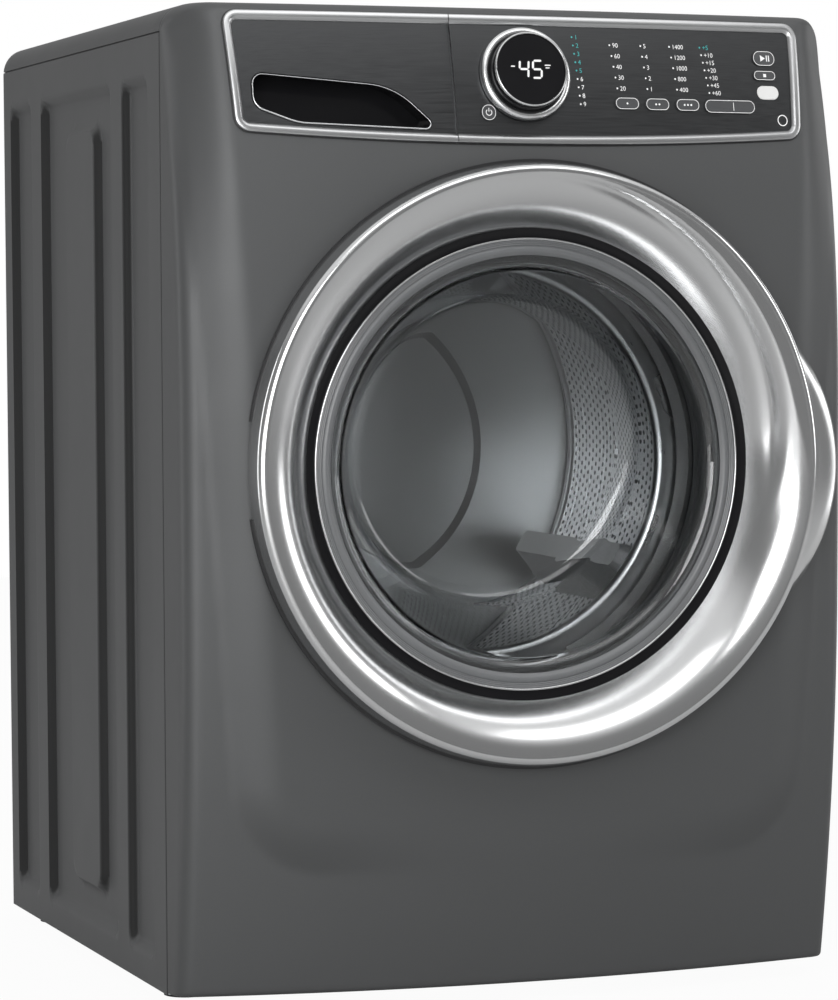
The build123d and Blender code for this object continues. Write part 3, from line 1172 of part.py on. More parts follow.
def water_pieces(spout, inlet, sump_z, fill_z):
    y0 = SEAM_Y + PUMP_FRONT
    y1 = y0 + PUMP_LENGTH
    sump = sump_y()
    pump = rod_y(PUMP_R, y0, y1, PUMP_X, PUMP_Z)
    pump += block((PUMP_X - PUMP_FOOT, PUMP_X + PUMP_FOOT), (y0, y1), (BASE_TOP_Z, PUMP_Z))
    neck_top = PUMP_Z + PUMP_R + NECK_LENGTH
    pump += rod_z(NECK_R, PUMP_Z, neck_top, PUMP_X, sump)
    pump -= rod_z(NECK_BORE_R, PUMP_Z, neck_top, PUMP_X, sump)
    keep("drain_pump", pump)
    sump_top = sump_z - NECK_LENGTH + HOSE_LAP
    sump_hose = tube_z(HOSE_R, HOSE_BORE_R, neck_top - HOSE_LAP, sump_top, PUMP_X, sump)
    fill_top = spout - NECK_LENGTH + HOSE_LAP
    fill_hose = tube_z(HOSE_R, HOSE_BORE_R, fill_z + NECK_LENGTH - HOSE_LAP, fill_top, SPOUT_X, sump)
    keep("tub_hoses", sump_hose, fill_hose)
    start = (PUMP_X + PUMP_R + SNUG, y0 + PUMP_LENGTH / 4, PUMP_Z)
    path = FilletPolyline(*drain_route(start), radius=2 * DRAIN_R)
    outlet = Plane(start, x_dir=(0, 1, 0), z_dir=(1, 0, 0))
    hose = sweep(outlet * (Circle(DRAIN_R) - Circle(DRAIN_BORE_R)), path=path)
    hose += tube_y(OUTLET_R, DRAIN_BORE_R, REAR_Y, REAR_Y + SPIGOT_REACH, DRAIN_X, DRAIN_Z)
    keep("drain_hose", hose)
    valve = block((VALVE_X - VALVE_HALF_W, VALVE_X + VALVE_HALF_W), (VALVE_FRONT_Y, REAR_Y - SHEET),
                  (VALVE_Z - VALVE_HALF_H, VALVE_Z + VALVE_HALF_H))
    for side in (-1, 1):
        x = VALVE_X + side * VALVE_PITCH / 2
        valve += rod_y(SPIGOT_R + SPIGOT_COLLAR, REAR_Y - SHEET, REAR_Y, x, VALVE_Z)
        valve += rod_y(SPIGOT_R, REAR_Y, REAR_Y + SPIGOT_REACH, x, VALVE_Z)
        valve -= rod_y(SPIGOT_BORE_R, REAR_Y - 2 * SPIGOT_REACH, REAR_Y + SPIGOT_REACH, x, VALVE_Z)
    valve += rod_y(FILL_BORE_R - SNUG, VALVE_FRONT_Y - HOSE_LAP, VALVE_FRONT_Y, VALVE_X, VALVE_Z)
    keep("inlet_valve", valve)
    keep("fill_hose", tube_y(FILL_R, FILL_BORE_R, inlet, VALVE_FRONT_Y, VALVE_X, VALVE_Z))


os.makedirs("parts", exist_ok=True)
keep("side_panel_left", side_panel())
keep("side_panel_right", side_panel().mirror(Plane.YZ))
keep("front_panel", front_panel())
keep("top_panel", top_panel())
keep("top_braces", *top_braces())
keep("power_inlet", power_inlet())
keep("door_gasket", door_gasket())
rear_pieces()
base_and_feet()
console_pieces()
door_pieces()
drum_pieces()
drive_pieces()
spout_z, inlet_y = drawer_pieces()
lug_top, sump_low, fill_high = tub_pieces()
suspension_pieces(lug_top)
water_pieces(spout_z, inlet_y, sump_low, fill_high)
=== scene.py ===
"""Looks of the front load washing machine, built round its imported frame."""
import bmesh
import bpy
import json
from math import asin, atan2, cos, exp, hypot, pi, radians, sin, sqrt, tan
from mathutils import Matrix, Vector


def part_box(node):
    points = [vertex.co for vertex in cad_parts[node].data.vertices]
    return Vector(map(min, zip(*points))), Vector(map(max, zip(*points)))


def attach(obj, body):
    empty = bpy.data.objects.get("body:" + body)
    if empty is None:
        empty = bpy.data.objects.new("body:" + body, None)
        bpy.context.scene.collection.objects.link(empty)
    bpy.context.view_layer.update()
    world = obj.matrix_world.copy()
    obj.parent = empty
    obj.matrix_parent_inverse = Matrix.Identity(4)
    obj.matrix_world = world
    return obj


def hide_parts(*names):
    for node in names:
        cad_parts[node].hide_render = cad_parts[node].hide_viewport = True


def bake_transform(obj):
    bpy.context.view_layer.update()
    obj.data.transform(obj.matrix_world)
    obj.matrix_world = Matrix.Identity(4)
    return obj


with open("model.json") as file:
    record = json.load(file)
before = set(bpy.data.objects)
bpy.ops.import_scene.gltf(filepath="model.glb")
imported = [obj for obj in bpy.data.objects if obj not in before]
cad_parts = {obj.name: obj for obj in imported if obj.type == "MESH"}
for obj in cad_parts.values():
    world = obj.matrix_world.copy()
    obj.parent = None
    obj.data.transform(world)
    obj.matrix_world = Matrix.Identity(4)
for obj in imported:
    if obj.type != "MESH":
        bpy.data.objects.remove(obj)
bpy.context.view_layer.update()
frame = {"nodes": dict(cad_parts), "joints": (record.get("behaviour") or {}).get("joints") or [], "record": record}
NODES = frame["nodes"]
JOINTS = {joint["name"]: joint for joint in frame["joints"]}
SLOTS = {part["node"]: part["material_slot"] for part in frame["record"]["subparts"]}
NODE_BODY = {node: body for body, nodes in frame["record"]["behaviour"]["bodies"].items() for node in nodes}

# Sizes are in millimetres, except for the room and its lamps, and the meshes are scaled to metres
MM = 0.001

# Places read from the frame
REAR_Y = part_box("side_panel_left")[1].y / MM
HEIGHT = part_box("top_panel")[1].z / MM
HALF_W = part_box("side_panel_right")[1].x / MM
SIDE_TOP_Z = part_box("side_panel_left")[1].z / MM
FOOT_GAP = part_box("side_panel_left")[0].z / MM
FRONT_FOOT_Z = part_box("front_panel")[0].z / MM
DOOR_Z = JOINTS["drum_spin"]["pos_m"][2] / MM

# Cabinet
SIDE_DEPTH = 630.0
SEAM_Y = REAR_Y - SIDE_DEPTH
SEAM_GAP = 0.6
SEAM_SHADOW = 1.6
# black strips behind the seam gaps, which paint shade there
STRIP_SET = 1.6
STRIP_THICK = 0.6
STRIP_WIDE = 8.0
STRIP_LAP = 2.0
STRIP_REAR = 4.0
STRIP_TOP = 1.5
SHEET = 1.2
CORNER_R = 27.0
CORNER_STEPS = 12
PANEL_STEP = 5.0
SIDE_ROUND = 14.0
ROUND_SHARE = 0.8
ROUND_STEPS = 6
TOP_ROLL = 9.0
TOP_STEPS = 8
FOOT_ROLL = 5.0
FOOT_STEPS = 5
FOOT_RETURN = 18.0
RETURN_STEPS = 3
SIDE_STEP = 2.5
SIDE_EDGE_R = 3.0
SIDE_EDGE_STEPS = 4
SIDE_FOLD = 14.0
FOLD_SET = 1.8
TOP_EDGE_R = 4.0
TOP_EDGE_STEPS = 5
TOP_BEND_STEPS = 10
TOP_ACROSS = 40
TOP_ALONG = 30

# Bowed front: how far it stands forward of the side seam
SIDE_CROWN = 69.0
SIDE_CREST_Z = 400.0
SIDE_TOP_FALL = 79.0
SIDE_FOOT_FALL = 37.0
EDGE_LIP = 2.0
BODY_BOW = 37.0
CENTRE_CROWN = 104.5
CENTRE_CREST_Z = 480.0
CENTRE_FALL = 28.0
KNEE_DROP = 185.0
KNEE_Z = HEIGHT - KNEE_DROP
CONSOLE_FALL = 20.5
SHIELD_BOW = 12.5
SHIELD_BOW_HALF = 294.0
SHIELD_FOOT_Z = 150.0
SHIELD_TOP_INSET = 21.0
SHIELD_FOOT_INSET = 63.0
SHIELD_CORNER_R = 75.0
FLANK_OUT = 14.0
FLANK_IN = 33.0
FLANK_EASE = 0.35
FLANK_POWER = 1.7

# Pressed recesses of the side panels: setback from the rear, width
RECESSES = ((33.0, 93.0), (168.0, 282.0), (490.0, 95.0))
RECESS_DEPTH = 8.0
RECESS_SLOPE = 7.0
RECESS_FOOT = 29.0
RECESS_HEAD = 40.0
RECESS_R = 14.0
WALL_EASE = 0.2
ISLAND_RECESS = 1
ISLAND_MARGIN = (69.0, 105.0)
ISLAND_ENDS = 41.0

# Rear panel
BEADS_X = (-305.0, -240.0, 240.0, 305.0)
BEAD_HALF = 9.0
BEAD_HEIGHT = 3.4
BEAD_FOOT = 90.0
BEAD_HEAD = 820.0
BEAD_RUN = 18.0
BEAD_END = 0.4
BEAD_SINK = 0.4
BEAD_ACROSS = 8
BEAD_STEPS = 60
COVER_RIM = 22.0
COVER_ROUND = 24.0
RIM_HALF = 5.0
RIM_HEIGHT = 2.6
RIM_SINK = 0.3
RIM_ACROSS = 6

# Console
TRIM_TOP_DROP = 8.0
TRIM_HEIGHT = 114.0
TRIM_HALF_TOP = HALF_W - 46.0
TRIM_TAPER = 6.0
TRIM_BOW = 11.0
TRIM_BOW_START = 0.2
TRIM_R = 14.0
TRIM_LEAST_R = 2.0
TRIM_STEP = 6.0
TRIM_LAP = 5.0
TRIM_TOP_Z = HEIGHT - TRIM_TOP_DROP
TRIM_FOOT_Z = TRIM_TOP_Z - TRIM_HEIGHT
# section of the trim: inset, height above the console's face
TRIM = ((0.0, 0.2), (0.0, 2.2), (0.5, 3.1), (1.4, 3.5), (5.6, 3.4), (6.3, 3.1), (8.6, 1.0), (9.0, 0.2))
# black strip round the console frame, partly under it and partly a painted shadow line on the panel: reach outside
# the frame, width, height above the face
JOINT_SHADOW_OUTSIDE = 1.4
JOINT_SHADOW_WIDE = 2.2
JOINT_SHADOW_OUT = 0.12
SPLIT_X = -74.0
SPLIT_GAP = 0.4
SPLIT_LEAST = 0.01

# Dial and display: radius and height above the console's face
DIAL_X = -1.5
DIAL_Z = 900.0
DIAL_STEPS = 128
DIAL_BASE = ((37.2, 1.2), (45.9, 1.2), (45.9, 5.0), (45.2, 7.0), (43.8, 8.2), (42.0, 8.7), (40.0, 8.4),
             (38.2, 7.4), (37.2, 6.4))
DIAL_SKIRT = ((35.0, 1.2), (37.6, 1.2), (37.9, 6.0), (37.0, 18.0), (36.4, 19.2), (35.0, 19.2))
DIAL_BEZEL = ((34.9, 18.6), (36.7, 18.6), (36.8, 19.6), (36.4, 20.6), (35.7, 20.95), (35.1, 20.5),
              (34.9, 19.8))
DISPLAY_OUT = 19.15
DIGITS = "45"
DIGIT_WIDE = 9.0
DIGIT_TALL = 17.0
DIGIT_BAR = 2.1
DIGIT_SLANT = 0.1
DIGIT_LEFT = -11.6
DIGIT_GAP = 4.6
BAR_GAP = 0.4
BAR_CUT = 0.9
# bars of a figure: place of the middle, as shares of its width and height
STROKES = {"a": (0.5, 0.5), "g": (0.5, 0.0), "d": (0.5, -0.5),
           "f": (0.0, 0.25), "b": (1.0, 0.25), "c": (1.0, -0.25)}
LEVEL_STROKES = "adg"
SEGMENTS = {"4": "bcfg", "5": "acdfg"}
# small bars beside the figures: x, z, half width, half height
SIDE_BARS = ((17.0, 4.2, 3.2, 0.55), (17.0, 1.6, 2.2, 0.55), (-18.5, 2.6, 2.2, 0.6))

# Marks and signs on the console
MARK_OUT = 0.25
SIGN_OUT = 1.7
LINE_WIDE = 0.55
BUTTON_MARGIN = (0.5, 0.6)
PILL_ROUND = 0.98
PILL_STEPS = 6
FIGURE_SIZE = 6.2
FIGURE_SINK = 0.34
FIGURE_GAP = 2.8
FIGURE_STEPS = 3
DOT_SIDES = 12
LEGEND_DOT_R = 0.9
SIGN_DOT_R = 1.0
SIGN_DOT_PITCH = 3.6
SIGN_DOTS = {"temperature_button": 1, "soil_button": 2, "spin_button": 3}
START_ARROW = ((-4.0, 3.2), (1.2, 0.0), (-4.0, -3.2))
# bars of the signs: x from the button's middle, half width, foot and head
SIGN_BARS = {
    "start_button": ((3.0, 0.6, -3.0, 3.0), (5.4, 0.6, -3.0, 3.0)),
    "cancel_button": ((0.0, 1.6, -1.6, 1.6),),
    "options_button": ((3.8, 0.3, -4.0, 4.0),),
    "power_button": ((0.0, 0.4, 0.6, 4.2),),
}
POWER_RING = (2.5, 3.3)
POWER_START = 125.0
POWER_SWEEP = 290.0
POWER_STEPS = 14
BUTTON_NAMES = ("power_button", "temperature_button", "soil_button", "spin_button", "options_button",
                "start_button", "cancel_button")
# plain numbers, with x and z of the first and last row and the count of teal rows
LEGEND = (
    (("1", "2", "3", "4", "5", "6", "7", "8", "9"), 52.0, 55.0, 938.0, 873.0, 5),
    (("90", "60", "40", "30", "20"), 91.0, 95.0, 931.0, 889.0, 0),
    (("5", "4", "3", "2", "1"), 124.0, 127.0, 931.0, 889.0, 0),
    (("1400", "1200", "1000", "800", "400"), 155.0, 159.0, 931.0, 889.0, 0),
    (("+5", "+10", "+15", "+20", "+30", "+45", "+60"), 188.0, 194.0, 931.0, 886.5, 1),
)
BLANK_X, BLANK_Z = 259.0, 888.0
BLANK_HALF = (12.0, 6.8)
BLANK_OUT = 0.8
BLANK_FOOT = 0.05
BLANK_BEVEL = 0.6
BADGE_X, BADGE_Z = 273.0, 861.0
BADGE_R = 5.6
BADGE_LINE = 1.0
BADGE_STEPS = 32

# Finger scoop of the drawer: corners with their radii
SCOOP_LEFT = 19.0 - TRIM_HALF_TOP + TRIM_TAPER
SCOOP_RIGHT = SPLIT_X - 18.0
SCOOP_FOOT = TRIM_FOOT_Z + 3.5
SCOOP_TOP = SCOOP_FOOT + 51.0
SCOOP = {
    (SCOOP_LEFT, SCOOP_TOP): 10.0,
    (SCOOP_RIGHT - 43.0, SCOOP_TOP - 11.0): 70.0,
    (SCOOP_RIGHT, SCOOP_FOOT): 5.0,
    (SCOOP_LEFT + 42.0, SCOOP_FOOT + 5.0): 60.0,
    (SCOOP_LEFT, SCOOP_TOP - 31.0): 14.0,
}
SCOOP_STEPS = 14
LIP_STEP = 4.0
LIP_SIDES = 8
LIP_R = 0.45
LIP_MORE = 0.45
LIP_ASIDE = 0.2
LIP_OUT = 0.1

# Door, with reaches forward of the seam
RING_BACK = 107.0
RING_R = 291.0
RIDGE_R = 283.0
RIDGE_W = RING_BACK + 23.7
RIDGE_ROUND = 7.0
RIDGE_SET = 2.0
RIDGE_START = 8.0
RIDGE_LOBE = 46.0
RIDGE_END = 106.0
RIDGE_STEPS = 10
RIDGE_LEAST = 0.2
WALL_STEPS = 10
FACE_STEPS = 34
FACE_BULGE = 9.5
SWELL_R = 257.0
SWELL_W = RING_BACK + 10.5
BORE_R = 228.0
BORE_W = RING_BACK - 19.0
RING_WALL = 3.0
RING_STEPS = 300
# hollow back of the ring's section: radius, reach
RING_HOLLOW = [(BORE_R + 0.6, BORE_W - 1.5), (BORE_R + RING_WALL, BORE_W - 1.5),
               (SWELL_R + 2.0, SWELL_W - 4.0), (RIDGE_R - 7.0, RIDGE_W - 11.0),
               (RING_R - RING_WALL, RING_BACK)]
BACK_INSET = 1.5
RIM_INSET = 1.0
RIM_LIP = 0.3
LOBE_ROUND = 2.0
# crease on the ring's face: angle above the horizontal in degrees, radius
CREASE = ((-14.0, 243.0), (5.0, 247.0), (27.0, 254.0), (43.0, 258.0), (58.0, 265.0), (73.0, 272.0),
          (92.0, 279.0))
CREASE_DEPTH = 4.2
CREASE_HALF = 8.0
CREASE_FADE = (30.0, 25.0)
BAND_SWELL = 4.0
BAND_END_R = RIDGE_R + 2.0
BAND_LEAN = 0.8
HANDLE_REACH = 318.0
HANDLE_R = 182.0
HANDLE_TURN = -1.5
HANDLE_SPAN = 33.0
HANDLE_FRONT_W = 106.0
HANDLE_BACK_W = 97.0
HANDLE_EASE = 9.0
HANDLE_BULGE = 2.0
EDGE_R = 293.0
EDGE_INNER_R = RING_R - RING_WALL - 2.0
EDGE_FRONT = 0.3
EDGE_DEPTH = 3.0
HINGE_GAP = 9.0
TURN_STEPS = 240
LATHE_STEPS = 180

# Glass bowl
SEAT_W = 78.2
GLASS_THICK = 5.0
GLASS_RIM_R = 222.0
GLASS_FLAT = 14.0
BOWL_R = 196.0
BOWL_END_R = 148.0
BOWL_DEPTH = 105.0
BOWL_RISE = 12.0
BOWL_TILT = 8.0
BOWL_POLE_R = 0.5
THROAT_ROUND = 14.0
THROAT_STEPS = 8
BOWL_WALL_STEPS = 20
END_ROUND = 20.0
END_DOME = 4.0
HEEL_STEPS = 10
DOME_STEPS = 14

# Rings between the chrome and the glass
GROOVE_R = 219.0
GROOVE_LAP = 2.0
GROOVE_EASE = 0.2
GROOVE_SET = 1.6
GROOVE_SLOPE = 3.0
GROOVE_RISE = 1.0
GLASS_EASE = 0.4
BRIGHT_R = 1.2
BRIGHT_RISE = 2.2
BRIGHT_SIDES = 12
RIM_RING_R = 202.0
RIM_EDGE = 0.3
RIM_WALL = 1.4
RIM_LINES = 3
LINE_FIRST = 2.6
LINE_PITCH = 1.7
LINE_LAST = 2.8
# each fine line on the rim ring: inset, height
LINE = ((0.0, 1.6), (0.8, 2.0), (1.5, 1.6), (1.6, 1.1))
RIM_TOP = 1.6
RIM_SWELL = 2.2
RIM_FALL = 1.2
RIM_ROUND = 0.5
RIM_STEPS = 8

# Opening of the front panel
DISH_W = 70.0
DISH_R = 241.0
DISH_FLARE = 0.5
MOUTH_TRIES = 6
OPENING_R = 203.0
COLLAR_DEPTH = 20.0
COLLAR_ROUND = 4.0
COLLAR_STEPS = 4
FACING_LEAST = 1.0

# Tub, drum and what joins the tub to the cabinet
TUB_FRONT_W = -35.0
LIP_W = DISH_W - COLLAR_DEPTH
# bellows: radius, reach from the panel's lip
GASKET = ((202.6, 14.0), (196.5, 15.0), (195.8, 8.0), (196.5, -2.0), (203.0, -6.0), (214.0, -8.0),
          (226.0, -9.0), (230.0, -14.0), (230.0, -20.0), (222.0, -26.0), (214.0, -30.0), (211.0, -36.0),
          (214.0, -42.0), (222.0, -46.0), (222.0, -52.0))
GASKET_END = (216.2, TUB_FRONT_W + 27.0)
GASKET_THICK = 2.0
UPPER_HOSE = 64.0
LOWER_HOSE = 119.0
HOSE_STEP = 2.0
HOSE_SIDES = 32
HOSE_EASE = 0.2
HOSE_COLLAR = 14.0
HOSE_RIB = 3.0
HOSE_PITCH = 10.0
HOSE_WALL = 2.0
DRUM_R = 270.0
DRUM_WALL_R = DRUM_R - SHEET / 2
DRUM_FRONT_W = -44.0
DRUM_LENGTH = 440.0
DRUM_BAND = 20.0
DRUM_BEND = 8.0
DRUM_BEND_STEPS = 5
# front of the drum: radius, reach from its foremost plane
DRUM_FACE = ((250.0, 0.0), (225.0, -2.0), (205.0, -2.0))
MOUTH_AT = (199.0, DRUM_FRONT_W - 8.5)
MOUTH_R = 6.5
MOUTH_ARC = (70, 180)
MOUTH_STEPS = 7
MOUTH_END = (192.6, DRUM_FRONT_W - 12.0)
DRUM_RIM_SHEET = 1.0
HOLE_PITCH = 10.0
HOLE_R = 2.6
HOLE_SIDES = 8

# Finishes: scales of the patterns go per metre, and pairs are the ends of a range
PATTERN_SPAN = (0.3, 0.7)
GRAIN_DEPTH = 0.05
PAINT_METAL = 0.5
PAINT_ROUGH = (0.5, 0.56)
PAINT_MEAN = 0.52
PAINT_FLAKES = 2600.0
PAINT_CLOUDS = 9.0
PAINT_SKIN = 420.0
PAINT_BUMP = 0.02
PAINT_COAT = 0.12
PAINT_COAT_ROUGH = 0.32
PLATE_HAZE = 5.0
GRAIN_ROUGH = (0.85, 1.15)
MOULD_CLOUDS = 24.0
MOULD_ROUGH = (0.9, 1.1)
MOULD_BUMP = 0.15
ZINC_METAL = 0.85
ZINC_CRYSTALS = 70.0
ZINC_CLOUDS = 60.0
ZINC_ROUGH = (0.36, 0.5)
ZINC_MEAN = 0.42
GLASS_IOR = 1.5
GLASS_HAZE = 18.0
GLASS_ROUGH = (0.0, 0.012)
GLOW_SKIN = 500.0
GLOW_ROUGH = (0.35, 0.5)
GLOW_MEAN = 0.4

# Angles in degrees beyond which an edge of a mesh is drawn sharp
SHARP = 40.0
SHARP_RINGS = 30.0
SHARP_GROOVE = 35.0
SHARP_TRIM = 50.0
SHARP_DOOR = 55.0
SHARP_WALLS = 60.0
SHARP_TUBES = 80.0
MERGE_GAP = 0.01

# Photograph's camera
PHOTO_HIGH = 1000
FOCAL_PX = 3797.04
CAMERA_YAW = 0.344902
CAMERA_PITCH = 0.085796
CAMERA_ROLL = -0.003108
CAMERA_AT = (-1342.2, SEAM_Y - 3503.5, 662.8)
AXIS_PX = 650.0
SENSOR = 36.0

# Room, in metres and watts: soft steps of its brightness go by axis, start, end and level
ROOM_LEVEL = 0.11
ROOM_STEPS = (("Z", 0.45, 0.75, 0.75), ("Y", 0.25, 0.6, 0.12))
MIRRORED_WHITE = 0.15
FLOOR_WHITE = 0.96
FLOOR_GREY = (0.5, 0.5, 0.5)
FLOOR_ROUGH = 0.6
FLOOR_REACH = 6.0
# name, place, target, size, power
LAMPS = (
    ("key", (-2.1, -4.6, 1.6), (0, -0.3, 0.5), (2.6, 2.6), 118),
    ("fill", (3.3, -1.9, 1.5), (0, -0.3, 0.5), (1.0, 2.2), 24),
    ("top", (0.2, -1.9, 2.8), (0, -0.4, 0.5), (2.8, 1.2), 17),
    ("low_left", (-2.6, -2.6, 0.5), (-0.2, -0.3, 0.3), (1.4, 0.9), 10),
    ("left_edge", (-2.8, 1.25, 0.9), (0, -0.2, 0.5), (0.9, 2.2), 13),
    ("right_edge", (3.0, 0.9, 0.7), (0, -0.3, 0.5), (0.8, 2.2), 10),
)
DRUM_LAMPS = (
    ("drum_glow", (-0.13, -0.10, 0.62), (0.27, 0.02, 0.56), (0.1, 0.1), 0.4),
    ("drum_back_glow", (-0.02, -0.16, 0.58), (-0.02, 0.30, 0.56), (0.1, 0.1), 0.35),
)


# Shape of the bowed front

def eased(t):
    t = min(1.0, max(0.0, t))
    return t * t * (3 - 2 * t)


def ramped(t):
    """Straight slope from 0 to 1 with slightly rounded ends."""
    return (1 - WALL_EASE) * min(1.0, max(0.0, t)) + WALL_EASE * eased(t)


def shield_edge(x, z):
    """Distance outside the raised shield's outline, seen from the front."""
    share = (z - SHIELD_FOOT_Z) / (KNEE_Z - SHIELD_FOOT_Z)
    inset = SHIELD_FOOT_INSET + (SHIELD_TOP_INSET - SHIELD_FOOT_INSET) * share
    across = abs(x) - (HALF_W - inset) + SHIELD_CORNER_R
    below = SHIELD_FOOT_Z - z + SHIELD_CORNER_R
    corner = hypot(max(across, 0.0), max(below, 0.0))
    return corner + min(max(across, below), 0.0) - SHIELD_CORNER_R


def forward(x, z):
    """How far the front stands forward of the seam."""
    above = max(0.0, z - SIDE_CREST_Z) / (HEIGHT - SIDE_CREST_Z)
    under = max(0.0, SIDE_CREST_Z - z) / SIDE_CREST_Z
    edge = SIDE_CROWN - SIDE_TOP_FALL * above ** 4 - SIDE_FOOT_FALL * under ** 2
    body = max(edge, EDGE_LIP) + BODY_BOW * (1 - (x / HALF_W) ** 2)
    rise = (z - CENTRE_CREST_Z) / (HEIGHT - CENTRE_CREST_Z)
    knee = max(0.0, z - KNEE_Z) / KNEE_DROP
    middle = CENTRE_CROWN - CENTRE_FALL * rise ** 2 - CONSOLE_FALL * knee ** 2
    shield = middle - SHIELD_BOW * (x / SHIELD_BOW_HALF) ** 2
    inward = min(1.0, max(0.0, (FLANK_OUT - shield_edge(x, z)) / (FLANK_OUT + FLANK_IN)))
    share = FLANK_EASE * eased(inward) + (1 - FLANK_EASE) * (1 - (1 - inward) ** FLANK_POWER)
    return body + (shield - body) * share


def normal(x, z, step=0.5):
    slope_x = (forward(x + step, z) - forward(x - step, z)) / (2 * step)
    slope_z = (forward(x, z + step) - forward(x, z - step)) / (2 * step)
    return Vector((-slope_x, -1, -slope_z)).normalized()


def on_front(x, z, out=0.0):
    """Point on the bowed front, or standing out from it."""
    return Vector((x, SEAM_Y - forward(x, z), z)) + out * normal(x, z)


def round_axis(radius, turn, reach):
    """Point on a circle round the door axis: turn in radians above +X, reach forward of the seam."""
    return Vector((radius * cos(turn), SEAM_Y - reach, DOOR_Z + radius * sin(turn)))


# Meshes

def add_piece(name, shape, body, finish, nodes=(), sharp=SHARP):
    """Piece of a shape, its points and faces, which rides on a body and may replace nodes."""
    mesh = bpy.data.meshes.new(name)
    mesh.from_pydata([Vector(p) * MM for p in shape[0]], [], shape[1])
    draft = bmesh.new()
    draft.from_mesh(mesh)
    bmesh.ops.remove_doubles(draft, verts=draft.verts, dist=MERGE_GAP * MM)
    loose = [v for v in draft.verts if not v.link_faces]
    bmesh.ops.delete(draft, geom=loose, context="VERTS")
    bmesh.ops.recalc_face_normals(draft, faces=draft.faces)
    draft.to_mesh(mesh)
    draft.free()
    for face in mesh.polygons:
        face.use_smooth = True
    mesh.set_sharp_from_angle(angle=radians(sharp))
    piece = bpy.data.objects.new(name, mesh)
    bpy.context.scene.collection.objects.link(piece)
    mesh.materials.append(FINISH[finish])
    if body:
        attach(piece, body)
    if nodes:
        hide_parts(*nodes)
    return piece


def thicken(piece, thickness, offset=0.0):
    """Gives a sheet its thickness, and keeps the result in the mesh."""
    modifier = piece.modifiers.new("thickness", "SOLIDIFY")
    modifier.thickness = thickness * MM
    modifier.offset = offset
    depsgraph = bpy.context.evaluated_depsgraph_get()
    solid = bpy.data.meshes.new_from_object(piece.evaluated_get(depsgraph))
    piece.modifiers.clear()
    piece.data = solid


def spaced(start, end, count):
    """Even values from end to end."""
    return [start + (end - start) * k / count for k in range(count + 1)]


def closing(start, radius, steps):
    """Values that lie closer towards the start, as on a rounded edge, without the last one."""
    return [start + radius * (1 - cos(pi / 2 * k / steps)) for k in range(steps)]


def rounded_ends(start, end, radius, steps, count):
    """Even values that lie closer towards both rounded ends."""
    inner = spaced(start + radius, end - radius, count)
    return closing(start, radius, steps) + inner + closing(end, -radius, steps)[::-1]


def circle(steps):
    """Angles of a full turn."""
    return [2 * pi * k / steps for k in range(steps)]


def sheet_faces(rows, columns, closed_columns=False, closed_rows=False):
    """Quads of a grid of points, row after row."""
    faces = []
    for i in range(rows if closed_rows else rows - 1):
        here = i * columns
        below = (i + 1) % rows * columns
        for j in range(columns if closed_columns else columns - 1):
            after = (j + 1) % columns
            faces.append((here + j, here + after, below + after, below + j))
    return faces


def sheet(rows, closed_columns=False, closed_rows=False):
    """Points and faces of a grid given as rows of points."""
    points = [point for row in rows for point in row]
    return points, sheet_faces(len(rows), len(rows[0]), closed_columns, closed_rows)


def lathe(profile, steps, closed=False):
    """Points and faces of a profile of (radius, reach) turned round the door axis."""
    rows = [[round_axis(r, turn, w) for turn in circle(steps)] for r, w in profile]
    return sheet(rows, closed_columns=True, closed_rows=closed)


def join(shapes):
    points = []
    faces = []
    for more, more_faces in shapes:
        first = len(points)
        points += more
        faces += [tuple(first + k for k in face) for face in more_faces]
    return points, faces


def arc(centre, radius, start, end, steps):
    """Points of an arc of (radius, reach), angles in degrees."""
    turns = [radians(turn) for turn in spaced(start, end, steps)]
    return [(centre[0] + radius * cos(turn), centre[1] + radius * sin(turn)) for turn in turns]


def inside(path, x, z):
    """Whether a point lies inside a closed path of (x, z)."""
    within = False
    previous = path[-1]
    for point in path:
        if (point[1] > z) != (previous[1] > z):
            cross = point[0] + (z - point[1]) * (previous[0] - point[0]) / (previous[1] - point[1])
            if x < cross:
                within = not within
        previous = point
    return within


def nearest_on(path, x, z):
    """Nearest point of a closed path of (x, z)."""
    best = None
    previous = path[-1]
    for point in path:
        dx = point[0] - previous[0]
        dz = point[1] - previous[1]
        length = dx * dx + dz * dz
        share = 0.0 if length == 0 else ((x - previous[0]) * dx + (z - previous[1]) * dz) / length
        share = min(1.0, max(0.0, share))
        spot = (previous[0] + share * dx, previous[1] + share * dz)
        gap = hypot(x - spot[0], z - spot[1])
        if best is None or gap < best[0]:
            best = (gap, spot)
        previous = point
    return best[1]


def rounded_path(corners, radii, steps=8):
    """Closed path of (x, z) with an arc at each corner."""
    path = []
    count = len(corners)
    for k, radius in enumerate(radii):
        here = Vector(corners[k])
        before = (Vector(corners[k - 1]) - here).normalized()
        after = (Vector(corners[(k + 1) % count]) - here).normalized()
        half = before.angle(after) / 2
        middle = here + (before + after).normalized() * (radius / sin(half))
        first = here + before * (radius / tan(half)) - middle
        last = here + after * (radius / tan(half)) - middle
        start = atan2(first.y, first.x)
        turn = atan2(last.y, last.x) - start
        turn = (turn + pi) % (2 * pi) - pi
        for angle in spaced(start, start + turn, steps):
            path.append((middle.x + radius * cos(angle), middle.y + radius * sin(angle)))
    return path


def finely(path, step):
    """The same closed path with points about a step apart, or closer."""
    fine = []
    for k, (x, z) in enumerate(path):
        after = path[(k + 1) % len(path)]
        parts = max(1, round(hypot(after[0] - x, after[1] - z) / step))
        for share in spaced(0.0, 1.0, parts)[:-1]:
            fine.append((x + share * (after[0] - x), z + share * (after[1] - z)))
    return fine


def with_direction(path):
    """Points of a closed path of (x, z), each with the direction along the path."""
    for k, (x, z) in enumerate(path):
        before = path[k - 1]
        after = path[(k + 1) % len(path)]
        yield x, z, Vector((after[0] - before[0], after[1] - before[1])).normalized()


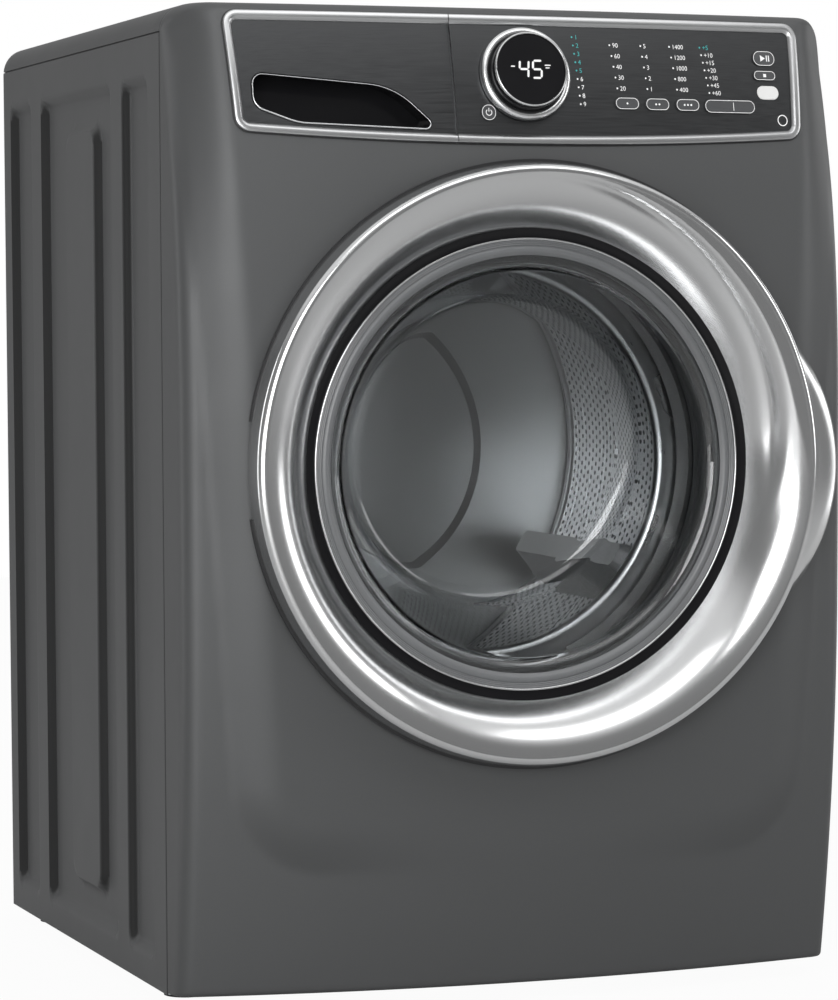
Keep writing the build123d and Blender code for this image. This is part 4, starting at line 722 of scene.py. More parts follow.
def offset_path(path, distance):
    """A closed path of (x, z) moved inwards."""
    return [(x + along.y * distance, z - along.x * distance) for x, z, along in with_direction(path)]


def console_path(inset):
    """Outline of the console, seen from the front."""
    half_top = TRIM_HALF_TOP - inset
    half_foot = TRIM_HALF_TOP - TRIM_TAPER - inset
    top = TRIM_TOP_Z - inset
    foot = TRIM_FOOT_Z + inset
    corners = ((-half_top, top), (half_top, top), (half_foot, foot), (-half_foot, foot))
    path = finely(rounded_path(corners, (max(TRIM_LEAST_R, TRIM_R - inset),) * 4), TRIM_STEP)
    middle = (top + foot) / 2
    bowed = []
    for x, z in path:
        share = eased((middle - z) / (middle - foot) - TRIM_BOW_START)
        drop = TRIM_BOW * (1 - (x / half_foot) ** 2) * share
        bowed.append((x, z - max(0.0, drop)))
    return bowed


# Materials

def add_node(tree, kind, sockets, **settings):
    """New node, whose sockets take a value or a link from another node's output."""
    node = tree.nodes.new(kind)
    for name, value in settings.items():
        setattr(node, name, value)
    for key, value in sockets.items():
        if isinstance(value, bpy.types.NodeSocket):
            tree.links.new(value, node.inputs[key])
        else:
            node.inputs[key].default_value = value
    return node


def new_material(name, colour, metallic=0.0, roughness=0.5):
    material = bpy.data.materials.new(name)
    material.use_nodes = True
    shader = material.node_tree.nodes["Principled BSDF"]
    shader.inputs["Base Color"].default_value = (*colour, 1.0)
    shader.inputs["Metallic"].default_value = metallic
    shader.inputs["Roughness"].default_value = roughness
    return material, material.node_tree, shader


def noise(tree, scale, detail=3.0, stretch=(1.0, 1.0, 1.0)):
    """Noise on object coordinates, in metres."""
    place = add_node(tree, "ShaderNodeTexCoord", {})
    mapping = add_node(tree, "ShaderNodeMapping", {"Scale": stretch, "Vector": place.outputs["Object"]})
    sockets = {"Scale": scale, "Detail": detail, "Vector": mapping.outputs["Vector"]}
    return add_node(tree, "ShaderNodeTexNoise", sockets).outputs["Fac"]


def map_range(tree, source, start, end, low, high, **settings):
    sockets = {"From Min": start, "From Max": end, "To Min": low, "To Max": high, "Value": source}
    return add_node(tree, "ShaderNodeMapRange", sockets, **settings).outputs["Result"]


def vary(tree, shader, socket, source, low, high):
    """Spreads a pattern over a socket's range, of numbers or of colours."""
    if isinstance(low, tuple):
        sockets = {"A": (*low, 1.0), "B": (*high, 1.0), "Factor": source}
        spread = add_node(tree, "ShaderNodeMix", sockets, data_type="RGBA").outputs["Result"]
    else:
        spread = map_range(tree, source, *PATTERN_SPAN, low, high)
    tree.links.new(spread, shader.inputs[socket])


def bump(tree, shader, source, strength, distance):
    sockets = {"Strength": strength, "Distance": distance * MM, "Height": source}
    node = add_node(tree, "ShaderNodeBump", sockets)
    tree.links.new(node.outputs["Normal"], shader.inputs["Normal"])


def painted_metal(name, low, high):
    """Metallic paint under a clear coat, with fine flakes."""
    material, tree, shader = new_material(name, low, PAINT_METAL, PAINT_MEAN)
    vary(tree, shader, "Base Color", noise(tree, PAINT_FLAKES, 1.0), low, high)
    vary(tree, shader, "Roughness", noise(tree, PAINT_CLOUDS, 4.0), *PAINT_ROUGH)
    bump(tree, shader, noise(tree, PAINT_SKIN, 2.0), PAINT_BUMP, GRAIN_DEPTH)
    shader.inputs["Coat Weight"].default_value = PAINT_COAT
    shader.inputs["Coat Roughness"].default_value = PAINT_COAT_ROUGH
    return material


def painted_shade_paint(name, low, high, start, end, level):
    """The same paint with painted shade: darker on recess walls that face the front, standing in for the shade
    inside the recesses.
    """
    material = painted_metal(name, low, high)
    tree = material.node_tree
    shader = tree.nodes["Principled BSDF"]
    colour = shader.inputs["Base Color"].links[0].from_socket
    surface = add_node(tree, "ShaderNodeNewGeometry", {})
    parts = add_node(tree, "ShaderNodeSeparateXYZ", {"Vector": surface.outputs["Normal"]})
    # painted shade: the colour is multiplied down on walls whose normal faces the front
    shade = map_range(tree, parts.outputs["Y"], start, end, level, 1.0)
    sockets = {"Factor": 1.0, "A": colour, "B": shade}
    mix = add_node(tree, "ShaderNodeMix", sockets, data_type="RGBA", blend_type="MULTIPLY")
    tree.links.new(mix.outputs["Result"], shader.inputs["Base Color"])
    return material


def polished_metal(name, colour, low, high):
    """Bright plated metal with faint hazing."""
    material, tree, shader = new_material(name, colour, 1.0, low)
    vary(tree, shader, "Roughness", noise(tree, PLATE_HAZE, 2.0), low, high)
    return material


def brushed_metal(name, low, high, rough, stretch, scale=160.0, depth=0.05):
    """Metal or lacquer with fine parallel grain."""
    material, tree, shader = new_material(name, low, 1.0, rough)
    grain = noise(tree, scale, 4.0, stretch)
    vary(tree, shader, "Base Color", grain, low, high)
    vary(tree, shader, "Roughness", grain, rough * GRAIN_ROUGH[0], rough * GRAIN_ROUGH[1])
    bump(tree, shader, grain, depth, GRAIN_DEPTH)
    return material


def moulded(name, low, high, rough, grain=900.0, depth=0.03, gloss=0.0, mirror=0.5):
    """Moulded plastic or rubber with a fine skin."""
    material, tree, shader = new_material(name, low, 0.0, rough)
    vary(tree, shader, "Base Color", noise(tree, MOULD_CLOUDS, 4.0), low, high)
    skin = noise(tree, grain, 2.0)
    vary(tree, shader, "Roughness", skin, rough * MOULD_ROUGH[0], min(1.0, rough * MOULD_ROUGH[1]))
    bump(tree, shader, skin, MOULD_BUMP, depth)
    shader.inputs["Coat Weight"].default_value = gloss
    shader.inputs["Specular IOR Level"].default_value = mirror
    return material


def zinc(name, low, high):
    """Zinc-coated sheet with its crystals."""
    material, tree, shader = new_material(name, low, ZINC_METAL, ZINC_MEAN)
    place = add_node(tree, "ShaderNodeTexCoord", {})
    crystals = add_node(tree, "ShaderNodeTexVoronoi",
                        {"Scale": ZINC_CRYSTALS, "Vector": place.outputs["Object"]})
    vary(tree, shader, "Base Color", crystals.outputs["Color"], low, high)
    vary(tree, shader, "Roughness", noise(tree, ZINC_CLOUDS), *ZINC_ROUGH)
    return material


def clear_glass(name, tint):
    material, tree, shader = new_material(name, tint, 0.0, GLASS_ROUGH[0])
    shader.inputs["Transmission Weight"].default_value = 1.0
    shader.inputs["IOR"].default_value = GLASS_IOR
    vary(tree, shader, "Roughness", noise(tree, GLASS_HAZE, 4.0), *GLASS_ROUGH)
    return material


# faint emission in the material's colour: painted light, making the printed legend, signs and badge glow though
# they are no lamps; the display's figures share it
def painted_glow(name, colour, strength):
    material, tree, shader = new_material(name, colour, 0.0, GLOW_MEAN)
    shader.inputs["Emission Color"].default_value = (*colour, 1.0)
    shader.inputs["Emission Strength"].default_value = strength
    vary(tree, shader, "Roughness", noise(tree, GLOW_SKIN), *GLOW_ROUGH)
    return material


# stretch of the grain along an axis
ACROSS = (0.02, 1.0, 1.0)
ALONG = (1.0, 0.02, 1.0)
AROUND = (0.04, 1.0, 0.04)
EVEN = (1.0, 1.0, 1.0)
# each finish: its recipe, one or two colours, and the recipe's other values in their order
RECIPES = {
    "trim_chrome": (polished_metal, (0.50, 0.505, 0.51), 0.28, 0.34),
    "rim_grey": (moulded, (0.13, 0.135, 0.14), (0.16, 0.165, 0.17), 0.3),
    "drum_end": (polished_metal, (0.34, 0.345, 0.35), 0.3, 0.36),
    # the figure colours glow faintly, painted light on print
    "figure_white": (painted_glow, (0.80, 0.80, 0.80), 0.15),
    "figure_teal": (painted_glow, (0.05, 0.36, 0.36), 0.15),
    "body_paint": (painted_metal, (0.078, 0.080, 0.082), (0.100, 0.102, 0.104)),
    # side paint: the last three values darken the colour where the normal's Y runs from -0.6 to -0.1, down to 0.2,
    # as painted shade on front-facing recess walls
    "side_paint": (painted_shade_paint, (0.084, 0.086, 0.088), (0.106, 0.108, 0.11), -0.6, -0.1, 0.2),
    "galvanised_steel": (zinc, (0.46, 0.48, 0.49), (0.60, 0.61, 0.62)),
    "bright_steel": (brushed_metal, (0.58, 0.59, 0.60), (0.70, 0.71, 0.72), 0.24, ALONG),
    "chrome": (polished_metal, (0.66, 0.665, 0.67), 0.17, 0.2),
    "dial_silver": (brushed_metal, (0.68, 0.685, 0.69), (0.80, 0.805, 0.81), 0.24, EVEN, 90.0),
    "console_dark": (brushed_metal, (0.05, 0.051, 0.053), (0.078, 0.08, 0.082), 0.42, ACROSS, 900.0),
    "black_gloss": (moulded, (0.006, 0.006, 0.007), (0.010, 0.010, 0.011), 0.18, 300.0, 0.01, 0.1, 0.15),
    "black_plastic": (moulded, (0.010, 0.010, 0.011), (0.018, 0.018, 0.019), 0.42),
    "button_grey": (moulded, (0.055, 0.057, 0.06), (0.07, 0.072, 0.075), 0.4),
    "white_plastic": (moulded, (0.72, 0.72, 0.71), (0.78, 0.78, 0.77), 0.45),
    "board_green": (moulded, (0.01, 0.09, 0.035), (0.02, 0.13, 0.05), 0.35, 200.0),
    "door_glass": (clear_glass, (0.80, 0.82, 0.83)),
    "gasket_rubber": (moulded, (0.045, 0.046, 0.048), (0.06, 0.061, 0.063), 0.6),
    "black_rubber": (moulded, (0.012, 0.012, 0.012), (0.02, 0.02, 0.02), 0.7, 700.0, 0.05),
    "tub_plastic": (moulded, (0.10, 0.10, 0.10), (0.125, 0.125, 0.125), 0.5),
    "weight_iron": (moulded, (0.12, 0.12, 0.118), (0.17, 0.17, 0.165), 0.75, 180.0, 0.3),
    "drum_steel": (brushed_metal, (0.54, 0.545, 0.55), (0.57, 0.575, 0.58), 0.3, AROUND, 300.0, 0.0),
    "lifter_plastic": (moulded, (0.19, 0.195, 0.20), (0.23, 0.235, 0.24), 0.35),
    "cast_aluminium": (moulded, (0.42, 0.43, 0.44), (0.50, 0.51, 0.52), 0.5, 250.0, 0.2),
    "motor_metal": (moulded, (0.05, 0.05, 0.052), (0.07, 0.07, 0.072), 0.5, 300.0, 0.1),
}
FINISH = {name: recipe(name, *values) for name, (recipe, *values) in RECIPES.items()}
for node, slot in SLOTS.items():
    NODES[node].data.materials.clear()
    NODES[node].data.materials.append(FINISH[slot])
NODES["drum_back"].data.materials[0] = FINISH["drum_end"]


# Front panel

def half_width(z):
    """Half of the cabinet's width at a height, with its rounded upper corners."""
    rise = z - (HEIGHT - CORNER_R)
    if rise <= 0:
        return HALF_W
    return HALF_W - CORNER_R + sqrt(max(0.0, CORNER_R ** 2 - rise ** 2))


def roll(distance, radius):
    """Setback of a rounded edge at a distance inside it."""
    if distance >= radius:
        return 0.0
    return radius - sqrt(max(0.0, radius ** 2 - (radius - distance) ** 2))


def panel_heights():
    low = FRONT_FOOT_Z + FOOT_ROLL
    high = HEIGHT - CORNER_R
    middle = spaced(low, high, round((high - low) / PANEL_STEP))
    corner = [high + CORNER_R * sin(turn) for turn in spaced(0.0, pi / 2, CORNER_STEPS)[1:]]
    return closing(FRONT_FOOT_Z, FOOT_ROLL, FOOT_STEPS) + middle + corner


def panel_row(z):
    """Points of the front panel at one height, from the left seam to the right seam."""
    half = half_width(z)
    edge = min(SIDE_ROUND, ROUND_SHARE * forward(half, z))
    setback = roll(z - FRONT_FOOT_Z, FOOT_ROLL) + roll(HEIGHT - z, TOP_ROLL)
    count = round(2 * (HALF_W - SIDE_ROUND) / PANEL_STEP)
    front = []
    for x in rounded_ends(-half, half, edge, ROUND_STEPS, count):
        y = SEAM_Y - forward(x, z) + setback + roll(half - abs(x), edge)
        front.append(Vector((x, min(y, SEAM_Y), z)))
    walls = spaced(SEAM_Y, front[0].y, ROUND_STEPS)[:-1]
    left = [Vector((-half, y, z)) for y in walls]
    right = [Vector((half, y, z)) for y in reversed(walls)]
    return left + front + right


def dish_mouth(turn):
    """Radius at which the dish's wall meets the bowed front."""
    radius = DISH_R
    for _ in range(MOUTH_TRIES):
        reach = forward(radius * cos(turn), DOOR_Z + radius * sin(turn))
        radius = DISH_R + DISH_FLARE * (reach - DISH_W)
    return radius


def mouth_point(turn):
    """Point on the bowed front where the dish begins."""
    radius = dish_mouth(turn)
    return on_front(radius * cos(turn), DOOR_Z + radius * sin(turn))


def front_panel():
    """Bowed front with its returns, open at the console, and sunk to a dish round the door's opening."""
    rows = [panel_row(z) for z in panel_heights()]
    deepest = max(p.y for p in rows[0])
    nearest = min(p.y for p in rows[-1])
    under = []
    for back in spaced(FOOT_RETURN, 0.0, RETURN_STEPS)[:-1]:
        under.append([Vector((p.x, min(p.y + back, deepest), p.z)) for p in rows[0]])
    over = []
    for limit in spaced(nearest, SEAM_Y, TOP_STEPS)[1:]:
        over.append([Vector((p.x, max(p.y, limit), p.z)) for p in rows[-1]])
    points, quads = sheet(under + rows + over)
    hole = console_path(TRIM_LAP)
    faces = []
    for face in quads:
        middle = sum((points[k] for k in face), Vector()) / 4
        turn = atan2(middle.z - DOOR_Z, middle.x)
        facing = middle.y < SEAM_Y - FACING_LEAST
        if facing and hypot(middle.x, middle.z - DOOR_Z) < dish_mouth(turn):
            continue
        if not inside(hole, middle.x, middle.z):
            faces.append(face)
    uses = {}
    for face in faces:
        for k in range(4):
            edge = tuple(sorted((face[k], face[(k + 1) % 4])))
            uses[edge] = uses.get(edge, 0) + 1
    rim = {k for edge, count in uses.items() if count == 1 for k in edge}
    for k in rim:
        p = points[k]
        turn = atan2(p.z - DOOR_Z, p.x)
        if hypot(p.x, p.z - DOOR_Z) < dish_mouth(turn) + 2 * PANEL_STEP:
            points[k] = mouth_point(turn)
        elif TRIM_FOOT_Z - 2 * TRIM_BOW < p.z < TRIM_TOP_Z and abs(p.x) < TRIM_HALF_TOP:
            points[k] = on_front(*nearest_on(hole, p.x, p.z))
    dish = [(DISH_R, DISH_W), (DISH_R - COLLAR_ROUND, DISH_W), (OPENING_R + COLLAR_ROUND, DISH_W)]
    dish += arc((OPENING_R + COLLAR_ROUND, DISH_W - COLLAR_ROUND), COLLAR_ROUND, 90, 180, COLLAR_STEPS)
    dish.append((OPENING_R, DISH_W - COLLAR_DEPTH))
    wall = [mouth_point(turn) for turn in circle(TURN_STEPS)]
    wall += lathe(dish, TURN_STEPS)[0]
    wall_faces = sheet_faces(1 + len(dish), TURN_STEPS, closed_columns=True)
    shape = join(((points, faces), (wall, wall_faces)))
    add_piece("front_panel_shell", shape, "cabinet", "body_paint", ["front_panel"])


# Side and top panels

def box_distance(y, z, span, rise, radius):
    """Distance outside a rectangle with rounded corners."""
    across = abs(y - (span[0] + span[1]) / 2) - (span[1] - span[0]) / 2 + radius
    along = abs(z - (rise[0] + rise[1]) / 2) - (rise[1] - rise[0]) / 2 + radius
    return hypot(max(across, 0.0), max(along, 0.0)) + min(max(across, along), 0.0) - radius


def recess_depth(y, z):
    """How far the side panel is pressed in."""
    foot = FOOT_GAP + RECESS_FOOT
    head = SIDE_TOP_Z - RECESS_HEAD
    depth = 0.0
    for number, (setback, width) in enumerate(RECESSES):
        near = REAR_Y - setback - width
        far = REAR_Y - setback
        outside = box_distance(y, z, (near, far), (foot, head), RECESS_R)
        share = ramped(-outside / RECESS_SLOPE)
        if number == ISLAND_RECESS:
            island = box_distance(y, z, (near + ISLAND_MARGIN[0], far - ISLAND_MARGIN[1]),
                                  (foot + ISLAND_ENDS, head - ISLAND_ENDS), RECESS_R)
            share *= 1 - ramped(1 - island / RECESS_SLOPE)
        depth += RECESS_DEPTH * share
    return depth


def side_panel(side, name):
    """Side panel with its pressed recesses, rounded edges and folded ends."""
    front = SEAM_Y + SEAM_SHADOW
    head = SIDE_TOP_Z - SEAM_SHADOW + SEAM_GAP
    count = round((REAR_Y - front - 2 * SIDE_EDGE_R) / SIDE_STEP)
    ys = rounded_ends(front, REAR_Y, SIDE_EDGE_R, SIDE_EDGE_STEPS, count)
    folded = side * (HALF_W - SIDE_FOLD)
    rows = []
    for z in spaced(FOOT_GAP, head, round((head - FOOT_GAP) / PANEL_STEP)):
        row = [Vector((folded, front, z))]
        for y in ys:
            inward = recess_depth(y, z) + roll(y - front, SIDE_EDGE_R) + roll(REAR_Y - y, SIDE_EDGE_R)
            row.append(Vector((side * (HALF_W - inward), y, z)))
        row.append(Vector((folded, REAR_Y - FOLD_SET, z)))
        rows.append(row)
    add_piece("side_" + name + "_shell", sheet(rows), "cabinet", "side_paint", ["side_panel_" + name])


def painted_shade_strips(side, name):
    """Black strips behind the seams at the side's front edge and under the top panel, as painted shade that makes
    the seam gaps read dark.
    """
    xs = (HALF_W - STRIP_SET - STRIP_THICK, HALF_W - STRIP_SET)
    front = ((SEAM_Y - STRIP_LAP, SEAM_Y + STRIP_WIDE), (FOOT_GAP + STRIP_LAP, SIDE_TOP_Z))
    top = ((SEAM_Y + STRIP_LAP, REAR_Y - STRIP_REAR), (SIDE_TOP_Z - STRIP_WIDE, SIDE_TOP_Z + STRIP_TOP))
    for part, (ys, zs) in (("front", front), ("top", top)):
        points = [Vector((side * x, y, z)) for x in xs for y in ys for z in zs]
        faces = [(0, 1, 3, 2), (4, 6, 7, 5), (0, 4, 5, 1), (2, 3, 7, 6), (0, 2, 6, 4), (1, 5, 7, 3)]
        add_piece("painted_shade_seam_" + part + "_" + name, (points, faces), "cabinet", "black_plastic")


def top_panel():
    """Top with rounded sides, and a rolled front and rear edge."""
    seam = SIDE_TOP_Z + SEAM_GAP
    front = SEAM_Y + SEAM_SHADOW
    low = HEIGHT - CORNER_R
    first = asin(max(0.0, seam - low) / CORNER_R)
    bend = [(-HALF_W, seam)] if low > seam else []
    for turn in spaced(first, pi / 2, TOP_BEND_STEPS):
        bend.append((-HALF_W + CORNER_R * (1 - cos(turn)), low + CORNER_R * sin(turn)))
    half = HALF_W - CORNER_R
    section = bend + [(x, HEIGHT) for x in spaced(-half, half, TOP_ACROSS)[1:-1]]
    section += [(-x, z) for x, z in reversed(bend)]
    rows = []
    for y in rounded_ends(front, REAR_Y, TOP_EDGE_R, TOP_EDGE_STEPS, TOP_ALONG):
        sink = roll(y - front, TOP_EDGE_R) + roll(REAR_Y - y, TOP_EDGE_R)
        rows.append([Vector((x * (1 - sink / HALF_W), y, max(seam, z - sink))) for x, z in section])
    rows.append([Vector((x * (1 - TOP_EDGE_R / HALF_W), REAR_Y, seam)) for x, z in section])
    add_piece("top_shell", sheet(rows), "cabinet", "body_paint", ["top_panel"])


# Back

def half_round(half, height, steps):
    """Section of a bead: place across it, height."""
    return [(half * cos(turn), height * sin(turn)) for turn in spaced(0.0, pi, steps)]


def rear_beads():
    """Stiffening beads pressed into the rear panel, and a raised rim on its access cover."""
    finish = SLOTS["rear_panel"]
    across = half_round(BEAD_HALF, BEAD_HEIGHT, BEAD_ACROSS)
    for number, x in enumerate(BEADS_X):
        rows = []
        for z in spaced(BEAD_FOOT, BEAD_HEAD, BEAD_STEPS):
            share = eased(min(z - BEAD_FOOT, BEAD_HEAD - z) / BEAD_RUN)
            wide = BEAD_END + (1 - BEAD_END) * share
            rows.append([Vector((x + u * wide, REAR_Y - BEAD_SINK + h * share, z)) for u, h in across])
        add_piece("rear_bead_" + str(number + 1), sheet(rows), "cabinet", finish)
    low, high = (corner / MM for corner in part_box("rear_access_cover"))
    left, right = low.x + COVER_RIM, high.x - COVER_RIM
    foot, top = low.z + COVER_RIM, high.z - COVER_RIM
    path = rounded_path(((left, foot), (right, foot), (right, top), (left, top)), (COVER_ROUND,) * 4)
    rim = half_round(RIM_HALF, RIM_HEIGHT, RIM_ACROSS)
    rows = []
    for x, z, along in with_direction(path):
        rows.append([Vector((x - along.y * u, high.y - RIM_SINK + h, z + along.x * u)) for u, h in rim])
    add_piece("rear_cover_rim", sheet(rows, closed_rows=True), "cabinet", finish)


# Console

def trim_frame():
    """Rounded bright frame, split between the console and the drawer."""
    base = console_path(0.0)
    rings = [offset_path(base, inset) for inset, _ in TRIM]
    for side, body, node in ((-1, "drawer", "drawer_trim"), (1, "cabinet", "console_trim")):
        edge = SPLIT_X + side * SPLIT_GAP
        rows = []
        for k in range(len(base)):
            row = []
            for ring, (_, out) in zip(rings, TRIM):
                x, z = ring[k]
                kept = max(x, edge) if side > 0 else min(x, edge)
                row.append(on_front(kept, z, out))
            rows.append(row)
        points, quads = sheet(rows, closed_columns=True, closed_rows=True)
        faces = [face for face in quads if max(side * (points[k].x - edge) for k in face) > SPLIT_LEAST]
        add_piece(node + "_frame", (points, faces), body, "trim_chrome", [node], SHARP_TRIM)


def outline_strip(path, width, out):
    """Thin closed line along a path."""
    rows = [[on_front(x, z, out) for x, z in line] for line in (path, offset_path(path, width))]
    return sheet(rows, closed_columns=True)


def trim_shadow():
    """Black strip along the joint between the frame and the front panel, reaching onto the panel outside the frame
    as a painted shadow line.
    """
    shape = outline_strip(offset_path(console_path(0.0), -JOINT_SHADOW_OUTSIDE), JOINT_SHADOW_WIDE, JOINT_SHADOW_OUT)
    add_piece("console_joint_painted_shadow", shape, "cabinet", "black_plastic")


def dial_point(radius, turn, height):
    """Point on the dial: height is measured out from the console's face."""
    foot = on_front(DIAL_X, DIAL_Z)
    out = normal(DIAL_X, DIAL_Z)
    across = Vector((1, 0, 0))
    across = (across - across.dot(out) * out).normalized()
    up = across.cross(out)
    if up.z < 0:
        up = -up
    return foot + across * radius * cos(turn) + up * radius * sin(turn) + out * height


def dial():
    """Silver base ring, black skirt, and a thin silver bezel round the display."""
    rings = (("dial_base", DIAL_BASE, "dial_silver", ["dial_ring"]),
             ("dial_skirt", DIAL_SKIRT, "black_gloss", ()),
             ("dial_bezel", DIAL_BEZEL, "dial_silver", ()))
    for name, profile, finish, nodes in rings:
        rows = [[dial_point(r, turn, h) for turn in circle(DIAL_STEPS)] for r, h in profile]
        add_piece(name, sheet(rows, closed_columns=True, closed_rows=True), "dial", finish, nodes, SHARP_TRIM)


def display_digits():
    """Slanted figures made of seven bars each, and the small bars beside them."""
    level = (DIGIT_WIDE / 2 - BAR_GAP, DIGIT_BAR / 2)
    upright = (DIGIT_BAR / 2, DIGIT_TALL / 4 - BAR_GAP)
    bars = []
    for number, digit in enumerate(DIGITS):
        left = DIGIT_LEFT + number * (DIGIT_WIDE + DIGIT_GAP)
        for key in SEGMENTS[digit]:
            across, up = STROKES[key]
            half = level if key in LEVEL_STROKES else upright
            bars.append((left + across * DIGIT_WIDE, up * DIGIT_TALL, *half))
    shapes = []
    for x, z, half_x, half_z in bars + list(SIDE_BARS):
        corner = min(half_x, half_z) * BAR_CUT
        near_x, near_z = half_x - corner, half_z - corner
        outline = [(-half_x, -near_z), (-near_x, -half_z), (near_x, -half_z), (half_x, -near_z)]
        outline += [(-dx, -dz) for dx, dz in outline]
        points = []
        for dx, dz in outline:
            v = z + dz
            u = x + dx + DIGIT_SLANT * v
            points.append(dial_point(hypot(u, v), atan2(v, u), DISPLAY_OUT))
        shapes.append((points, [tuple(range(len(points)))]))
    add_piece("display_figures", join(shapes), "cabinet", "figure_white")


def flat_shape(x, z, outline, out):
    """Flat shape of (x, z) on the console's face."""
    return [on_front(x + u, z + v, out) for u, v in outline], [tuple(range(len(outline)))]


def dot(x, z, radius, out):
    return flat_shape(x, z, [(radius * cos(turn), radius * sin(turn)) for turn in circle(DOT_SIDES)], out)


def figures(text, x, z):
    """Plain numbers on the console, as flat outlines laid on its bowed face."""
    curve = bpy.data.curves.new("figures", "FONT")
    curve.body = text
    curve.size = FIGURE_SIZE
    curve.resolution_u = FIGURE_STEPS
    holder = bpy.data.objects.new("figures", curve)
    bpy.context.scene.collection.objects.link(holder)
    depsgraph = bpy.context.evaluated_depsgraph_get()
    mesh = bpy.data.meshes.new_from_object(holder.evaluated_get(depsgraph))
    points = [on_front(x + v.co.x, z + v.co.y, MARK_OUT) for v in mesh.vertices]
    faces = [tuple(face.vertices) for face in mesh.polygons]
    bpy.data.objects.remove(holder)
    bpy.data.meshes.remove(mesh)
    bpy.data.curves.remove(curve)
    return points, faces


def legend():
    """Rows of indicator dots with plain numbers beside them."""
    shapes = {"white": [], "teal": []}
    for texts, x0, x1, z0, z1, teal_rows in LEGEND:
        for row, text in enumerate(texts):
            share = row / (len(texts) - 1)
            x = x0 + (x1 - x0) * share
            z = z0 + (z1 - z0) * share
            marks = shapes["teal" if row < teal_rows else "white"]
            marks.append(dot(x, z, LEGEND_DOT_R, MARK_OUT))
            marks.append(figures(text, x + FIGURE_GAP, z - FIGURE_SIZE * FIGURE_SINK))
    for colour, marks in shapes.items():
        add_piece("legend_" + colour, join(marks), "cabinet", "figure_" + colour)


def pill(x, z, half_x, half_z):
    radius = min(half_x, half_z) * PILL_ROUND
    corners = [(x + u * half_x, z + v * half_z) for u, v in ((-1, 1), (1, 1), (1, -1), (-1, -1))]
    return rounded_path(corners, (radius,) * 4, PILL_STEPS)


def button_marks():
    """Fine outline on each button, with a plain sign inside it."""
    for name in BUTTON_NAMES:
        low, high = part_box(name)
        x, z = (low.x + high.x) / 2 / MM, (low.z + high.z) / 2 / MM
        half_x = (high.x - low.x) / 2 / MM - BUTTON_MARGIN[0]
        half_z = (high.z - low.z) / 2 / MM - BUTTON_MARGIN[1]
        shapes = [outline_strip(pill(x, z, half_x, half_z), LINE_WIDE, SIGN_OUT)]
        if name == "start_button":
            shapes.append(flat_shape(x, z, START_ARROW, SIGN_OUT))
        if name == "power_button":
            turns = [radians(turn) for turn in spaced(POWER_START, POWER_START + POWER_SWEEP, POWER_STEPS)]
            ring = [[on_front(x + r * cos(turn), z + r * sin(turn), SIGN_OUT) for turn in turns]
                    for r in POWER_RING]
            shapes.append(sheet(ring))
        for aside, half, foot, head in SIGN_BARS.get(name, ()):
            outline = ((-half, foot), (half, foot), (half, head), (-half, head))
            shapes.append(flat_shape(x + aside, z, outline, SIGN_OUT))
        count = SIGN_DOTS.get(name, 0)
        for k in range(count):
            shapes.append(dot(x + SIGN_DOT_PITCH * (k - (count - 1) / 2), z, SIGN_DOT_R, SIGN_OUT))
        add_piece(name + "_marks", join(shapes), NODE_BODY[name], "figure_white")


def blank_plates():
    """Bare white plate and bare badge ring at the console's right end."""
    path = pill(BLANK_X, BLANK_Z, *BLANK_HALF)
    rows = [[on_front(x, z, BLANK_OUT) for x, z in offset_path(path, BLANK_BEVEL)],
            [on_front(x, z, BLANK_FOOT) for x, z in path]]
    points, faces = sheet(rows, closed_columns=True)
    faces.insert(0, tuple(range(len(path))))
    add_piece("blank_plate", (points, faces), "cabinet", "white_plastic", (), SHARP_RINGS)
    turns = circle(BADGE_STEPS)
    ring = [(BADGE_X + BADGE_R * cos(-turn), BADGE_Z + BADGE_R * sin(-turn)) for turn in turns]
    add_piece("blank_badge", outline_strip(ring, BADGE_LINE, MARK_OUT), "cabinet", "figure_white")


def scoop_lip():
    """Thin bright bead round the finger scoop, thicker along its foot."""
    path = finely(rounded_path(list(SCOOP), SCOOP.values(), SCOOP_STEPS), LIP_STEP)
    rows = []
    for x, z, along in with_direction(path):
        size = LIP_R + LIP_MORE * eased(0.5 - along.x / 2)
        row = []
        for turn in circle(LIP_SIDES):
            u = LIP_ASIDE + size * cos(turn)
            row.append(on_front(x - along.y * u, z + along.x * u, LIP_OUT + size * sin(turn)))
        rows.append(row)
    shape = sheet(rows, closed_columns=True, closed_rows=True)
    add_piece("scoop_lip", shape, "drawer", "bright_steel", (), SHARP_TUBES)


# Door

def ring_face():
    """Face of the ring's section, swelling from its ridge to its inner edge."""
    ridge = (RIDGE_R - RIDGE_SET, RIDGE_W - RIDGE_ROUND)
    first_r, first_w = arc(ridge, RIDGE_ROUND, RIDGE_END, RIDGE_END, 1)[0]
    face = []
    for share in spaced(0.0, 1.0, FACE_STEPS)[1:]:
        level = first_w + share * (BORE_W - first_w)
        face.append((first_r + share * (BORE_R - first_r), level + FACE_BULGE * sin(pi * share)))
    return face


def crease_radius(degrees):
    """Radius of the crease at an angle, straight from point to point, or None beyond its ends."""
    for (a, ra), (b, rb) in zip(CREASE, CREASE[1:]):
        if a <= degrees <= b:
            return ra + (rb - ra) * (degrees - a) / (b - a)
    return None


def ring_lift(r, degrees):
    """How the crease and the swelling band outside it change the ring's face."""
    radius = crease_radius(degrees)
    if radius is None:
        return 0.0
    rising = eased((degrees - CREASE[0][0]) / CREASE_FADE[0])
    fading = eased((CREASE[-1][0] - degrees) / CREASE_FADE[1])
    lift = -CREASE_DEPTH * exp(-((r - radius) / CREASE_HALF) ** 2)
    if r > radius:
        share = min(1.0, (r - radius) / (BAND_END_R - radius))
        lift += BAND_SWELL * sin(pi * share ** BAND_LEAN)
    return rising * fading * lift


